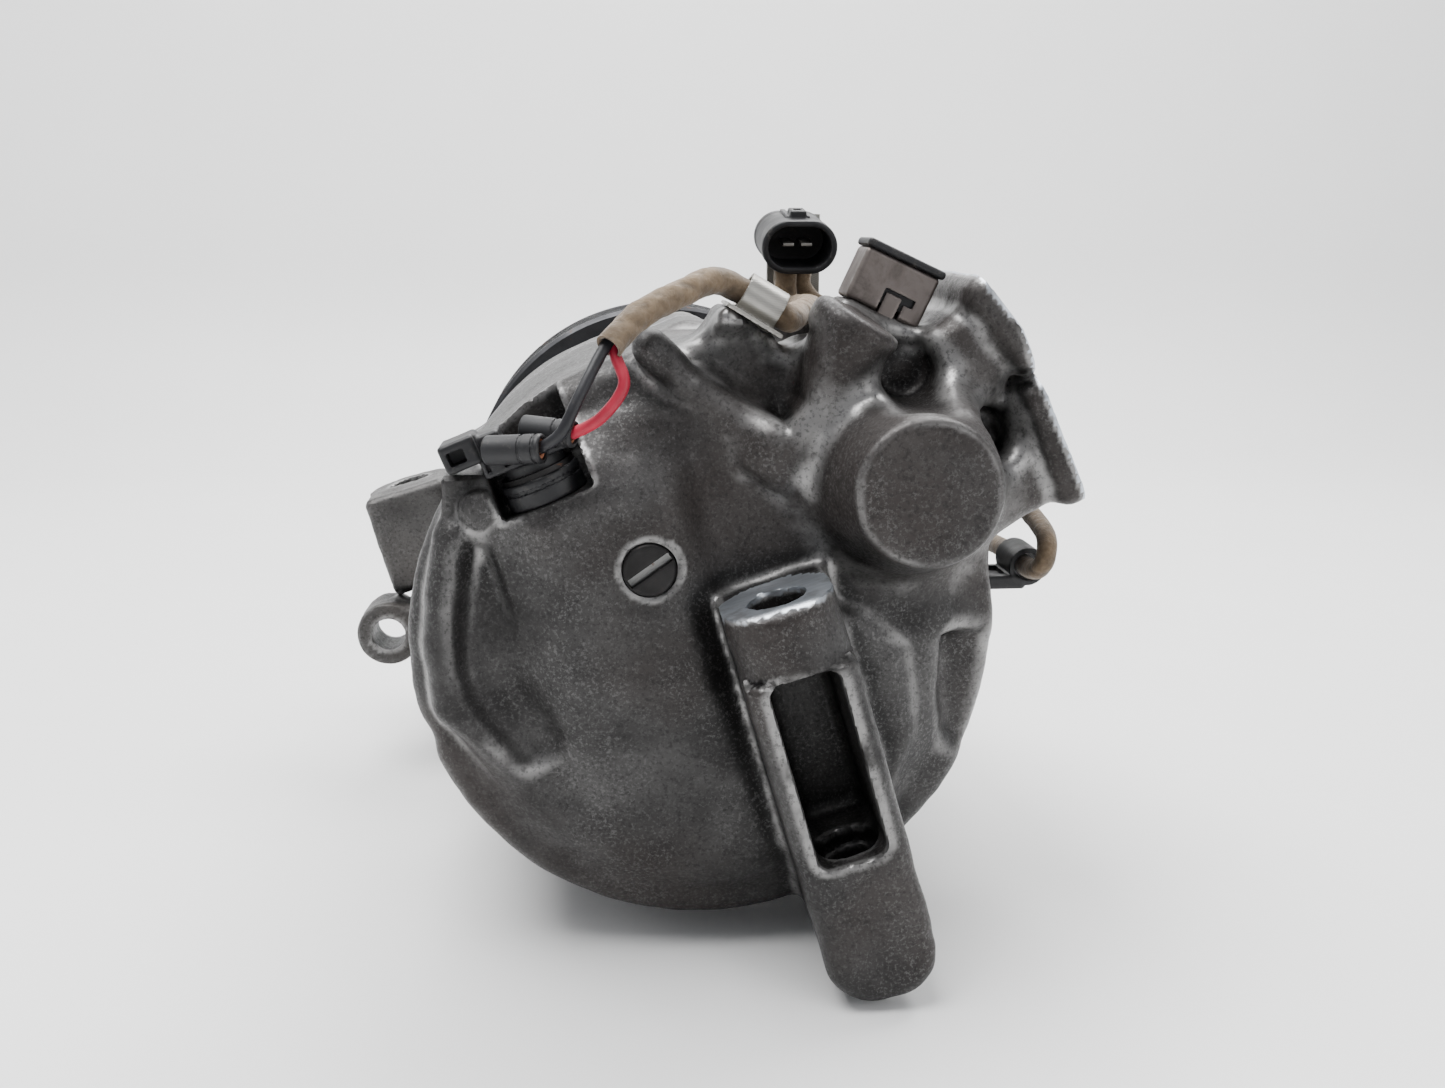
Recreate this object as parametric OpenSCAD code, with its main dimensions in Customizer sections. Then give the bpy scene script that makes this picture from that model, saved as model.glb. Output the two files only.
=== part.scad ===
/* [Casing] */
// Outer radius of the round casing
body_r = 57.5; // [56:0.5:59]
// Inner radius of the rear housing, around the fixed scroll
shell_r = 46.6; // [46:0.1:47]
// Radius of the circle that the casing bolts lie on
bolt_circle_r = 53.2; // [53:0.1:53.6]
// Length of the rear housing from the joint to its rear rim
rear_len = 64; // [62:1:66]
// Thickness of the front housing's bolting flange
flange_t = 14; // [12:1:15]

/* [Scrolls] */
// Radius of the circle that the scroll curves unroll from
involute_r = 2.546; // [2.5:0.002:2.56]
// Thickness of a scroll wall
wrap_t = 3.4; // [3.2:0.1:3.5]
// Radius of the orbit
orbit_r = 4.3; // [4.2:0.05:4.35]
// Angle, in turns, at which the scroll walls end
wrap_turns = 2.4; // [2.2:0.05:2.45]
// Height of the orbiting scroll's wall
wrap_h = 29.4; // [28:0.1:29.4]

/* [Mounting] */
// Lean of the mounting bolts away from the vertical
lean = 16; // [10:1:20]
// Radius of the mounting bolt bores
lug_bore_r = 5.5; // [5:0.1:5.6]
// Width of the rear mounting lug
lug_w = 21; // [20:0.5:22]
// Distance of the rear lug's bolt from the shaft, across the lean
lug_u = 14.4; // [13:0.2:16]
// Radius of the bolt holes in the two ears that point along the shaft
ear_bore_r = 4.25; // [4:0.05:4.5]

/* [Ports] */
// Radius of the suction port
suction_r = 8; // [7:0.5:8]
// Radius of the discharge port
discharge_r = 6; // [5:0.5:6.5]
// Radius of the tapped holes beside the ports
port_tap_r = 3.4; // [3.3:0.1:3.5]

/* [Clutch] */
// Radius of the pulley at its flanges
pulley_r = 57; // [56:0.5:58]
// Number of belt grooves
groove_count = 7; // [5:1:7]
// Distance between two belt grooves
groove_pitch = 3.56; // [3.5:0.02:3.56]
// Depth of a belt groove
groove_depth = 2.9; // [2.6:0.1:3]
// Gap between the clutch plate and the pulley when the clutch is off
air_gap = 0.5; // [0.5:0.05:0.7]

/* [Hidden] */
$fn = 72;
eps = 0.02;

// Places along the shaft, counted from the middle of the belt towards the rear
joint_z = 104;
rim_z = joint_z + rear_len;
thrust_z = 100;
plate_z = thrust_z + 1.3;
plate_t = 7;
wrap_z = plate_z + plate_t;
fixed_z = 138;
fixed_back_z = 147;
main_z = 66;
front_z = 15.5;
disc_z = 74;
bush_z = 80.5;
boss_z = 84.2;

// The whole machine lies on its side: the shaft points along -Y towards the rear
module lay() rotate([90, 0, 0]) children();
// Square to the mounting bolts: x across them, y along them
module leaning() rotate([0, 0, lean]) children();
module tube(r_out, r_in, z0, z1) translate([0, 0, z0]) difference() {
    cylinder(r = r_out, h = z1 - z0);
    translate([0, 0, -1]) cylinder(r = r_in, h = z1 - z0 + 2);
}
module disc(r, z0, z1) translate([0, 0, z0]) cylinder(r = r, h = z1 - z0);
// A bar with square ends from one corner to the other
module box(a, b) translate(a) cube(b - a);
// A cylinder along x from x0 to x1
module rod_x(r, x0, x1) translate([x0, 0, 0]) rotate([0, 90, 0]) cylinder(r = r, h = x1 - x0);
// A cylinder along y from y0 to y1
module rod_y(r, y0, y1) translate([0, y0, 0]) rotate([-90, 0, 0]) cylinder(r = r, h = y1 - y0);

bolt_angles = [30 : 60 : 330];
module round_bolts() for (a = bolt_angles) rotate([0, 0, a]) translate([bolt_circle_r, 0, 0]) children();
// The part of each bolt's boss that stands out of the round casing
module bolt_bosses(z0, z1) difference() {
    round_bolts() disc(6.2, z0, z1);
    disc(body_r - 1, z0 - 1, z1 + 1);
}
// A slice of the round casing with the bosses of the casing bolts
module bolted_slice(z0, z1) translate([0, 0, z0]) linear_extrude(z1 - z0) {
    circle(body_r);
    round_bolts() circle(6.2);
}

// ---- scroll curves ----
steps_per_turn = 36;
wrap_start = 2.7;
wrap_end = wrap_turns * 2 * PI;
half_turn_shift = wrap_t / (2 * involute_r);
// A point of the involute at roll angle p (radians), shifted sideways by s radians of roll
function involute(p, s) = [
    involute_r * (cos(p * 180 / PI) + (p + s) * sin(p * 180 / PI)),
    involute_r * (sin(p * 180 / PI) - (p + s) * cos(p * 180 / PI))];
function wrap_outline(p0, p1, s) = let (
        n = round((p1 - p0) / (2 * PI) * steps_per_turn),
        roll = [for (i = [0 : n]) p0 + (p1 - p0) * i / n])
    concat([for (p = roll) involute(p, s)], [for (i = [n : -1 : 0]) involute(roll[i], -s)]);
module wrap(h) linear_extrude(h) polygon(wrap_outline(wrap_start, wrap_end, half_turn_shift));
seal_shift = 0.8 / involute_r;
module seal_strip(h) linear_extrude(h)
    polygon(wrap_outline(wrap_start + 0.9, wrap_end - 0.7, seal_shift));

// ---- swept leads ----
function smooth(p0, p1, p2, p3, t) = 0.5 * (2 * p1 + (p2 - p0) * t
    + (2 * p0 - 5 * p1 + 4 * p2 - p3) * t * t + (3 * p1 - p0 - 3 * p2 + p3) * t * t * t);
function route(pts, per) = let (n = len(pts)) [
    for (i = [0 : n - 2]) for (k = [0 : (i == n - 2 ? per : per - 1)])
        smooth(pts[max(i - 1, 0)], pts[i], pts[i + 1], pts[min(i + 2, n - 1)], k / per)];
function unit(v) = v / norm(v);
function side_of(t) = unit(cross(t, abs(t[2]) > 0.9 ? [1, 0, 0] : [0, 0, 1]));
// The sideways direction is carried from ring to ring, so that the tube doesn't twist
function carry(ts, i, s) = i >= len(ts) ? [] :
    let (n = unit(s - ts[i] * (s * ts[i]))) concat([n], carry(ts, i + 1, n));
module swept(pts, r, per = 3, sides = 8) {
    line = route(pts, per);
    n = len(line);
    ts = [for (i = [0 : n - 1]) unit(line[min(i + 1, n - 1)] - line[max(i - 1, 0)])];
    ns = carry(ts, 0, side_of(ts[0]));
    rings = [for (i = [0 : n - 1]) for (k = [0 : sides - 1]) let (a = 360 * k / sides)
        line[i] + r * (cos(a) * ns[i] + sin(a) * cross(ts[i], ns[i]))];
    walls = [for (i = [0 : n - 2]) for (k = [0 : sides - 1]) let (j = (k + 1) % sides)
        [i * sides + k, i * sides + j, (i + 1) * sides + j, (i + 1) * sides + k]];
    ends = [[for (k = [sides - 1 : -1 : 0]) k], [for (k = [0 : sides - 1]) (n - 1) * sides + k]];
    polyhedron(points = rings, convexity = 10,
        faces = [for (f = concat(walls, ends)) [for (i = [len(f) - 1 : -1 : 0]) f[i]]]);
}

// ---- casing ----
lug_top = 10.3;
lug_end = -68;
lug_z = rim_z + 20;
port1_turn = 39;
port1_face = 84;
port1_side = 11.9;
port2_turn = 24;
port2_face = 78.6;
port2_side = 7.9;
suction_z = 129;
suction_tap_z = 154;
discharge_z = 154;
discharge_tap_z = 131;
// The notch for the heat switch: its floor's turn, its ends along the floor and its height
notch_turn = 22;
notch_from = -25.5;
notch_to = -7.4;
notch_floor = 38.6;
switch_a = -16.4;
switch_z = rim_z + 2;
switch_r = 7.6;
plug_at = [-11.5, 17.5];

module rear_shell() rotate_extrude() polygon([[0, joint_z], [body_r, joint_z], [body_r, rim_z - 7],
    [body_r - 1, rim_z - 3], [body_r - 4, rim_z], [0, rim_z]]);
// The raised back of the casing, in two steps
module rear_relief() {
    translate([0, 0, rim_z - 1]) linear_extrude(8)
        polygon([[-42, 16], [-40, 30], [-20, 42], [0, 50], [12, 50], [34, 46], [44, 30], [42, 10],
            [34, -20], [30, -44], [6, -44], [-16, -36], [-34, -22]]);
    translate([0, 0, rim_z + 6]) linear_extrude(7)
        polygon([[-36, 12], [-36, 26], [-20, 35], [-3, 36], [4, 20], [6, -34], [-12, -28], [-26, -16]]);
}
module rear_lug_solid() leaning() {
    box([lug_u - lug_w / 2 + 0.1, lug_end + 4, rim_z - 6], [lug_u + lug_w / 2 - 0.1, lug_top, lug_z]);
    translate([lug_u, 0, lug_z]) rod_y(lug_w / 2, lug_end + 4, lug_top);
    box([lug_u - lug_w / 2 + 4.1, lug_end, rim_z - 2], [lug_u + lug_w / 2 - 4.1, lug_end + 5, lug_z]);
    translate([lug_u, 0, lug_z]) rod_y(lug_w / 2 - 4, lug_end, lug_end + 5);
}
module rear_lug_cuts() leaning() {
    translate([lug_u, 0, lug_z]) rod_y(lug_bore_r, lug_end - 1, lug_top + 1);
    box([lug_u - 6.5, -39, rim_z + 4], [lug_u + 6.5, -2.5, lug_z + 20]);
}
module port_block(turn, face, side, half, z0, z1) rotate([0, 0, turn]) {
    box([20, side - half + 3, z0 + 2], [face - 6, side + half - 3, z1 - 3]);
    box([face - 9, side - half, z0], [face, side + half, z1]);
}
module top_boss_solid() rotate([0, 0, 58]) translate([0, 9, rim_z + 5]) {
    rod_x(9.3, 38, 68.5);
    box([36, -6, -20], [58, 6, 0]);
}
module rear_housing() color("dimgray") lay() difference() {
    union() {
        rear_shell();
        bolt_bosses(joint_z + 0.5, joint_z + 22);
        rear_relief();
        rear_lug_solid();
        translate([37.4, 33.3, 0]) {
            disc(13, rim_z - 8, rim_z + 26);
            translate([0, 0, rim_z - 1]) cylinder(r1 = 18, r2 = 13, h = 14);
        }
        difference() {
            union() {
                port_block(port1_turn, port1_face, port1_side, 10.8, 116, 172);
                port_block(port2_turn, port2_face, port2_side, 13.3, 117, 171);
                top_boss_solid();
            }
            disc(body_r - 8, joint_z - 1, rim_z - 6);
        }
        // the ground around the switch's notch, and the square block with its bump
        rotate([0, 0, notch_turn]) box([notch_from - 6, 22, rim_z - 10], [notch_to + 5, 44, rim_z + 6]);
        box([-49.5, 23, rim_z - 10], [-38, 34.6, rim_z + 5.5]);
        translate([-42.5, 28.3, 0]) disc(3.8, rim_z + 4, rim_z + 8.4);
        // seat for the clip on the lead's sleeve
        rotate([0, 0, -31]) box([-31, 46, 156], [-18, 57.5, 172]);
        // seat for the box bracket
        rotate([0, 0, -25]) box([-4, 48, 150], [13, 71.5, 163]);
        // pad for the coil lead's clip
        box([50, -2, 120], [61, 8, 136]);
    }
    disc(shell_r, joint_z - 1, fixed_back_z);
    disc(44, fixed_back_z - 1, rim_z - 8);
    tube(49.7, 47.9, joint_z - 1, joint_z + 1.5);
    round_bolts() disc(3, joint_z - 1, joint_z + 20);
    for (s = [0, 180]) rotate([0, 0, s]) translate([bolt_circle_r, 0, 0]) disc(2, joint_z - 1, joint_z + 6);
    rear_lug_cuts();
    rotate([0, 0, port1_turn]) translate([0, port1_side, suction_z]) rod_x(suction_r, 30, port1_face + 1);
    rotate([0, 0, port1_turn]) translate([0, port1_side, suction_tap_z])
        rod_x(port_tap_r, port1_face - 16, port1_face + 1);
    rotate([0, 0, port2_turn]) translate([0, port2_side, discharge_z])
        rod_x(discharge_r, 30, port2_face + 1);
    rotate([0, 0, port2_turn]) translate([0, port2_side, discharge_tap_z])
        rod_x(port_tap_r, port2_face - 16, port2_face + 1);
    translate([plug_at[0], plug_at[1], 0]) disc(5, rim_z - 10, rim_z + 20);
    rotate([0, 0, notch_turn]) box([notch_from, notch_floor, rim_z - 6], [notch_to, 64, rim_z + 30]);
    // shallow pockets around the rim
    leaning() translate([-51, -8, 0]) disc(9, rim_z - 3, rim_z + 2);
    translate([58, -9, 0]) disc(9, rim_z - 14, rim_z + 2);
    translate([-54, -24, 0]) disc(6, rim_z - 10, rim_z + 2);
}

module front_shell() rotate_extrude() polygon([[0, joint_z - flange_t], [46.5, joint_z - flange_t],
    [46.5, 52], [42, 40], [34, 30], [27, 24], [27, 22.5], [19.5, 22.5], [19.5, 12], [17.5, 10.5],
    [17.5, -13], [0, -13]]);
module front_lug(u, v0, v1, z, out) leaning() translate([u, 0, z]) {
    rod_y(11, v0, v1);
    box([-10.9, v0, 0], [10.9, v1, 16]);
    if (out != 0) box([min(0, -out), (v0 + v1) / 2 - 6, -5], [max(0, -out), (v0 + v1) / 2 + 6, 12]);
}
module front_housing() color("darkgray") lay() difference() {
    union() {
        front_shell();
        bolted_slice(joint_z - flange_t, joint_z);
        front_lug(-65.5, 4, 30.5, 38, -34);
        // the lower lug, under the shaft and in line with the rear one
        front_lug(lug_u, -66.7, -42, 44, 0);
        leaning() box([lug_u - 9, -44, 42], [lug_u + 9, -28, 60]);
        // the left ear and its web
        translate([-75.8, -26.2, 0]) disc(8.3, 46, 60);
        rotate([0, 0, 19]) box([-76, -6, 48], [-38, 5, 58]);
        // the lower ear, which the machine also stands on
        translate([-34, -53.2, 0]) disc(10, 46, 60);
        // pad under the connector's bracket
        box([18, 45, 95], [32, 58, 103]);
        rotate([0, 0, 57]) box([-58, -8, 48], [-38, 8, 58]);
        // ribs from the nose to the flange
        for (a = [0, 60, 120, 240, 300]) rotate([0, 0, a]) box([38, -2.5, 43.5], [51, 2.5, 92]);
    }
    disc(45.5, thrust_z, joint_z + 1);
    disc(28, disc_z, thrust_z + 1);
    disc(26, 58.5, disc_z + 1);
    disc(20, 50, 59);
    disc(15, 42.5, 51);
    disc(16.2, 50, 51.5);
    disc(14, 12, 43);
    disc(9, -14, 13);
    tube(17.6, 16.7, -11.7, -10.3);
    tube(19.6, 18.6, 17.4, 19);
    round_bolts() disc(3.2, joint_z - flange_t - 1, joint_z + 1);
    for (s = [0, 180]) rotate([0, 0, s]) translate([bolt_circle_r, 0, 0]) disc(2, joint_z - 6, joint_z + 1);
    for (a = [0 : 60 : 300]) rotate([0, 0, a]) translate([32.8, 0, 0]) disc(2, 90, thrust_z + 1);
    leaning() translate([-65.5, 0, 38]) rod_y(lug_bore_r, 3, 32);
    leaning() translate([lug_u, 0, 44]) rod_y(lug_bore_r, -69, -41);
    translate([-75.8, -26.2, 0]) disc(ear_bore_r, 45, 61);
    translate([-34, -53.2, 0]) disc(ear_bore_r, 45, 61);
}
module casing_o_ring() color("black") lay() translate([0, 0, joint_z + 0.75])
    rotate_extrude() translate([48.8, 0]) square([1.5, 1.5], center = true);
module casing_bolts() color("silver") lay() round_bolts() {
    disc(3, joint_z - flange_t, joint_z + 18);
    disc(6.2, joint_z - flange_t - 1.5, joint_z - flange_t);
    translate([0, 0, joint_z - flange_t - 6.5]) cylinder(r = 5.6, h = 5.2, $fn = 6);
}
module dowel_pins() color("silver") lay() for (s = [0, 180]) rotate([0, 0, s])
    translate([bolt_circle_r, 0, 0]) disc(2, joint_z - 5.5, joint_z + 5.5);

// ---- scroll set ----
module fixed_scroll() color("silver") lay() difference() {
    union() {
        disc(46.5, fixed_z, fixed_back_z);
        tube(46.5, 45, 110, fixed_z + eps);
        tube(46.5, 45.7, joint_z, 110 + eps);
        translate([0, 0, wrap_z + 0.3]) wrap(fixed_z - wrap_z - 0.3 + eps);
    }
    translate([0, 0, wrap_z + 0.3 - 1]) seal_strip(2.2);
    tube(47, 44.9, 141, 143.4);
    translate([-1, -0.5, 0]) disc(4.2, fixed_z - 1, fixed_back_z + 1);
    translate([0, -30, 0]) disc(2.5, fixed_z + 1, fixed_back_z + 1);
    rotate([0, 0, port1_turn]) translate([0, port1_side, suction_z]) rod_x(suction_r + 0.4, 39.5, 50);
}
module fixed_scroll_tip_seal() color("black") lay()
    translate([0, 0, wrap_z + 0.2]) seal_strip(1.2);
module scroll_o_ring() color("black") lay() tube(46.5, 45.1, 141.3, 143.1);
module discharge_reed() color("lightsteelblue") lay() difference() {
    union() {
        box([-6, -36, fixed_back_z], [6, 0, fixed_back_z + 0.4]);
        translate([-1, -0.5, 0]) disc(7, fixed_back_z, fixed_back_z + 0.4);
    }
    translate([0, -30, 0]) disc(2.6, fixed_back_z - 1, fixed_back_z + 1);
}
module reed_stop() color("gray") lay() difference() {
    union() {
        box([-6, -36, fixed_back_z + 0.4], [6, -20, fixed_back_z + 2.4]);
        translate([0, -20, fixed_back_z + 0.4]) rotate([8, 0, 0]) box([-6, 0, 0], [6, 25, 2]);
    }
    translate([0, -30, 0]) disc(2.6, fixed_back_z, fixed_back_z + 3);
}
module reed_screw() color("silver") lay() translate([0, -30, 0]) difference() {
    union() {
        disc(2.5, fixed_z + 1.5, fixed_back_z + 2.4);
        disc(4.5, fixed_back_z + 2.4, fixed_back_z + 6);
    }
    translate([0, 0, fixed_back_z + 4]) cylinder(r = 2.3, h = 4, $fn = 6);
}
module on_orbit() translate([0, orbit_r, 0]) children();
module orbiting_scroll() color("silver") lay() on_orbit() difference() {
    union() {
        disc(40.8, plate_z, wrap_z);
        disc(17, boss_z, plate_z + eps);
        translate([0, 0, wrap_z - eps]) rotate([0, 0, 180]) wrap(wrap_h + eps);
    }
    disc(13.5, boss_z - 1, plate_z);
    for (a = [0 : 60 : 300]) rotate([0, 0, a]) translate([32.8, 0, 0]) disc(7.9, plate_z - 1, plate_z + 4.2);
    translate([0, 0, wrap_z + wrap_h - 1.2]) rotate([0, 0, 180]) seal_strip(2.2);
}
module orbiting_scroll_tip_seal() color("black") lay() on_orbit()
    translate([0, 0, wrap_z + wrap_h - 1.2]) rotate([0, 0, 180]) seal_strip(1.3);
module orbit_rings() color("slategray") lay() on_orbit() for (a = [0 : 60 : 300])
    rotate([0, 0, a]) translate([32.8, 0, 0]) tube(7.9, 6.6, plate_z + 0.1, plate_z + 4.2);
module orbit_pins() color("silver") lay() for (a = [0 : 60 : 300])
    rotate([0, 0, a]) translate([32.8, 0, 0]) disc(2, 90, plate_z + 3.6);
module thrust_plate() color("lightgray") lay() difference() {
    tube(45.3, 28.3, thrust_z, thrust_z + 1.2);
    for (a = [0 : 60 : 300]) rotate([0, 0, a]) translate([32.8, 0, 0]) disc(2.2, thrust_z - 1, thrust_z + 2);
}
module crank_bearing_cup() color("silver") lay() on_orbit() tube(13.5, 12.5, boss_z + 0.6, plate_z - 1);
module crank_bearing_needles() color("lightgray") lay() on_orbit() for (a = [0 : 15 : 345])
    rotate([0, 0, a]) translate([11.25, 0, 0]) disc(1.2, boss_z + 2, plate_z - 3);

// ---- crank ----
pin_side = -3;
module crankshaft() color("silver") lay() difference() {
    union() {
        disc(4, -33, -24 + eps);
        disc(7.5, -24, 20);
        disc(8, 19.9, 57);
        disc(12.5, 56.9, disc_z);
        disc(20, disc_z - eps, bush_z - 0.5);
        translate([pin_side, orbit_r, 0]) disc(4.5, bush_z - 1, 97);
    }
    translate([0, 0, -35]) cylinder(r = 1.2, h = 5);
}
module drive_bush() color("gray") lay() difference() {
    on_orbit() disc(10, bush_z, 98);
    translate([pin_side, orbit_r, 0]) disc(4.5, bush_z - 1, 99);
}
module counterweight() color("darkgoldenrod") lay() difference() {
    union() {
        intersection() {
            union() {
                disc(26.5, bush_z, bush_z + 3);
                tube(26.5, 18.4, bush_z + 3 - eps, 97);
            }
            rotate([0, 0, 210]) linear_extrude(200) polygon([[0, 0], [60, 0], [60, 60], [0, 60 * tan(60)]]);
        }
        on_orbit() disc(13, bush_z, bush_z + 3);
    }
    on_orbit() disc(10, bush_z - 1, 99);
}

// ---- rolling bearings ----
module race(r_in, r_out, pitch_r, ball_r, half_w, rows) rotate_extrude() difference() {
    translate([r_in, -half_w]) square([r_out - r_in, 2 * half_w]);
    for (z = rows) translate([pitch_r, z]) circle(r = ball_r);
}
module balls(pitch_r, ball_r, count, rows) for (z = rows) for (i = [0 : count - 1])
    rotate([0, 0, 360 / count * (i + (z > 0 ? 0.5 : 0))]) translate([pitch_r, 0, z]) sphere(r = ball_r);
module cage(pitch_r, half_t, half_w, ball_r, count, rows) difference() {
    tube(pitch_r + half_t, pitch_r - half_t, -half_w, half_w);
    for (z = rows) for (i = [0 : count - 1]) rotate([0, 0, 360 / count * (i + (z > 0 ? 0.5 : 0))])
        translate([0, 0, z]) rod_x(ball_r + 0.1, pitch_r - half_t - 1, pitch_r + half_t + 1);
}
module at(z) lay() translate([0, 0, z]) children();
module main_bearing_inner_race() color("silver") at(main_z) race(12.5, 17.2, 19.25, 4.25, 7.5, [0]);
module main_bearing_outer_race() color("silver") at(main_z) race(21.3, 26, 19.25, 4.25, 7.5, [0]);
module main_bearing_balls() color("silver") at(main_z) balls(19.25, 4.2, 9, [0]);
module main_bearing_cage() color("goldenrod") at(main_z) cage(19.25, 1.2, 5.4, 4.2, 9, [0]);
module front_bearing_inner_race() color("silver") at(front_z) race(7.5, 9.7, 10.75, 2.05, 3.5, [0]);
module front_bearing_outer_race() color("silver") at(front_z) race(11.8, 14, 10.75, 2.05, 3.5, [0]);
module front_bearing_balls() color("silver") at(front_z) balls(10.75, 2, 11, [0]);
module front_bearing_cage() color("goldenrod") at(front_z) cage(10.75, 0.7, 2.7, 2, 11, [0]);
module shaft_seal() color("black") lay() rotate_extrude()
    polygon([[8.04, 44], [9, 43.4], [11, 46], [13.4, 46], [13.4, 42.6], [15, 42.6], [15, 49.8],
        [13, 49.8], [10, 48.6], [8.04, 46.8]]);
module seal_ring() color("silver") lay() tube(16.1, 12.5, 50.1, 51.4);

// ---- clutch ----
rim_half = 14.5;
plate_front = -rim_half - air_gap;
module groove_cut(z) translate([0, z]) polygon([[pulley_r + 1, -1.55], [pulley_r - 0.6 - groove_depth, -0.35],
    [pulley_r - 0.6 - groove_depth, 0.35], [pulley_r + 1, 1.55]]);
module pulley() color("dimgray") lay() difference() {
    rotate_extrude() difference() {
        polygon([[27.5, -rim_half], [pulley_r - 1, -rim_half], [pulley_r, -rim_half + 1],
            [pulley_r, rim_half - 1], [pulley_r - 1, rim_half], [49.3, rim_half], [49.3, -9],
            [31.8, -9], [31.8, 12], [27.5, 12], [27.5, 9.8]]);
        for (i = [0 : groove_count - 1]) groove_cut((i - (groove_count - 1) / 2) * groove_pitch);
    }
    // slots that steer the magnetic field through the friction face
    for (a = [0 : 60 : 300]) rotate([0, 0, a]) translate([0, 0, -rim_half - 1])
        rotate_extrude(angle = 46) translate([45.2, 0]) square([2, 8]);
    for (a = [0 : 90 : 270]) rotate([0, 0, a + 20]) translate([0, 0, -rim_half - 1])
        rotate_extrude(angle = 66) translate([35.4, 0]) square([2, 8]);
}
pulley_rows = [-4.6, 4.6];
module pulley_bearing_inner_race() color("silver") at(0) race(17.5, 21, 22.5, 3.25, 9.8, pulley_rows);
module pulley_bearing_outer_race() color("silver") at(0) race(24, 27.5, 22.5, 3.25, 9.8, pulley_rows);
module pulley_bearing_balls() color("silver") at(0) balls(22.5, 3.2, 16, pulley_rows);
module pulley_bearing_cage() color("saddlebrown") at(0) cage(22.5, 0.9, 8.4, 3.2, 16, pulley_rows);
module pulley_bearing_ring() color("silver") lay() tube(20.2, 16.8, -11.5, -10.3);
module coil_shell() color("black") lay() {
    tube(47.4, 44.9, -6.5, 19 + eps);
    tube(36.4, 33.9, -6.5, 19 + eps);
    tube(47.4, 19.6, 19, 22.5);
}
module coil_winding() color("sienna") lay() tube(44.9, 36.4, -5, 19);
module coil_ring() color("silver") lay() tube(22.4, 18.7, 17.5, 18.9);
spring_turns = [0, 120, 240];
module clutch_hub() color("dimgray") lay() difference() {
    union() {
        disc(12.5, -22, plate_front - 0.2);
        translate([0, 0, -24]) linear_extrude(3.9) {
            circle(18);
            for (a = spring_turns) rotate([0, 0, a]) {
                translate([0, -7.9]) square([26, 15.8]);
                translate([26, 0]) circle(8);
            }
        }
        for (a = spring_turns) rotate([0, 0, a]) translate([26, 0, 0]) disc(2, -25.2, -19.2);
    }
    disc(7.5, -25, -10);
}
module hub_nut() color("silver") lay() difference() {
    union() {
        disc(9, -25.6, -24);
        translate([0, 0, -31]) cylinder(r = 7.5, h = 5.5, $fn = 6);
    }
    disc(4, -32, -23);
}
// The three leaves are riveted to an arm of the hub at one end and to the plate at the other
module leaf_springs() color("lightsteelblue") lay() for (a = spring_turns) rotate([0, 0, a]) difference() {
    translate([26, 0, -20.1]) rotate([0, 0, 58]) union() {
        box([0, -6, 0], [28, 6, 0.5]);
        disc(6, 0, 0.5);
        translate([28, 0, 0]) disc(6, 0, 0.5);
    }
    translate([26, 0, 0]) disc(2, -21, -19);
    translate([26, 0, 0]) rotate([0, 0, 58]) translate([28, 0, 0]) disc(2, -21, -19);
}
module clutch_plate() color("gray") lay() difference() {
    union() {
        tube(53.5, 29.5, -19.5, plate_front);
        for (a = spring_turns) rotate([0, 0, a]) translate([26, 0, 0]) rotate([0, 0, 58])
            translate([28, 0, 0]) {
                disc(2, -20.4, -19);
                disc(3.6, -21.6, -20.1);
            }
    }
    for (a = [0 : 120 : 240]) rotate([0, 0, a + 70]) translate([0, 0, -24])
        rotate_extrude(angle = 80) translate([40.3, 0]) square([2, 12]);
}

// ---- plug, heat switch and leads ----
module screw_plug() color("black") lay() translate([plug_at[0], plug_at[1], 0]) difference() {
    disc(5, rim_z - 4, rim_z + 12.6);
    rotate([0, 0, 35]) box([-5.5, -0.8, rim_z + 10.8], [5.5, 0.8, rim_z + 14]);
}
module on_notch() rotate([0, 0, notch_turn]) translate([switch_a, notch_floor, switch_z]) children();
module heat_switch() color("black") lay() on_notch() {
    rod_y(switch_r, 0, 5.2);
    rod_y(switch_r - 1.6, 5.2 - eps, 8.2);
}
module heat_switch_ring() color("silver") lay() on_notch() difference() {
    rod_y(switch_r - 0.5, 5.2, 6.2);
    rod_y(switch_r - 1.5, 5, 7);
}
module switch_plug() color("black") lay() rotate([0, 0, notch_turn]) difference() {
    union() {
        box([-31, 50.3, rim_z + 0.5], [-24, 55.8, rim_z + 10]);
        box([-25, 46.9, rim_z - 4], [-8.5, 50.4, rim_z + 9]);
    }
    box([-29.6, 51.4, rim_z + 8], [-27, 53.9, rim_z + 12]);
}
module switch_terminals() color("black") lay() {
    swept([[-40.5, 40, 179.5], [-30.2, 40.8, 183.5]], 2.7, 1, 16);
    swept([[-34, 43.5, 176], [-24.6, 42.8, 180]], 2.5, 1, 16);
}
module sweep_lead(c, pts, r, per = 3, sides = 8) color(c) lay() swept(pts, r, per, sides);
black_route = [[-30.8, 40.8, 183.2], [-27, 43.8, 185.4], [-23.4, 50.7, 184.4], [-19.5, 57.6, 180.6]];
red_route = [[-25.2, 42.8, 179.8], [-19.9, 46, 182], [-15.8, 51.8, 182.4], [-17.3, 57.5, 179.6]];
sleeve_route = [[-18.6, 58.2, 180], [-12, 64.1, 176], [-4.6, 67.4, 171], [1.2, 69.4, 166.5], [6, 67.9, 164],
    [15.2, 62.4, 164], [19, 62.5, 154], [23, 63, 142], [24, 62.5, 126], [22, 62, 115], [22, 66, 112],
    [22, 70.2, 112]];
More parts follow.
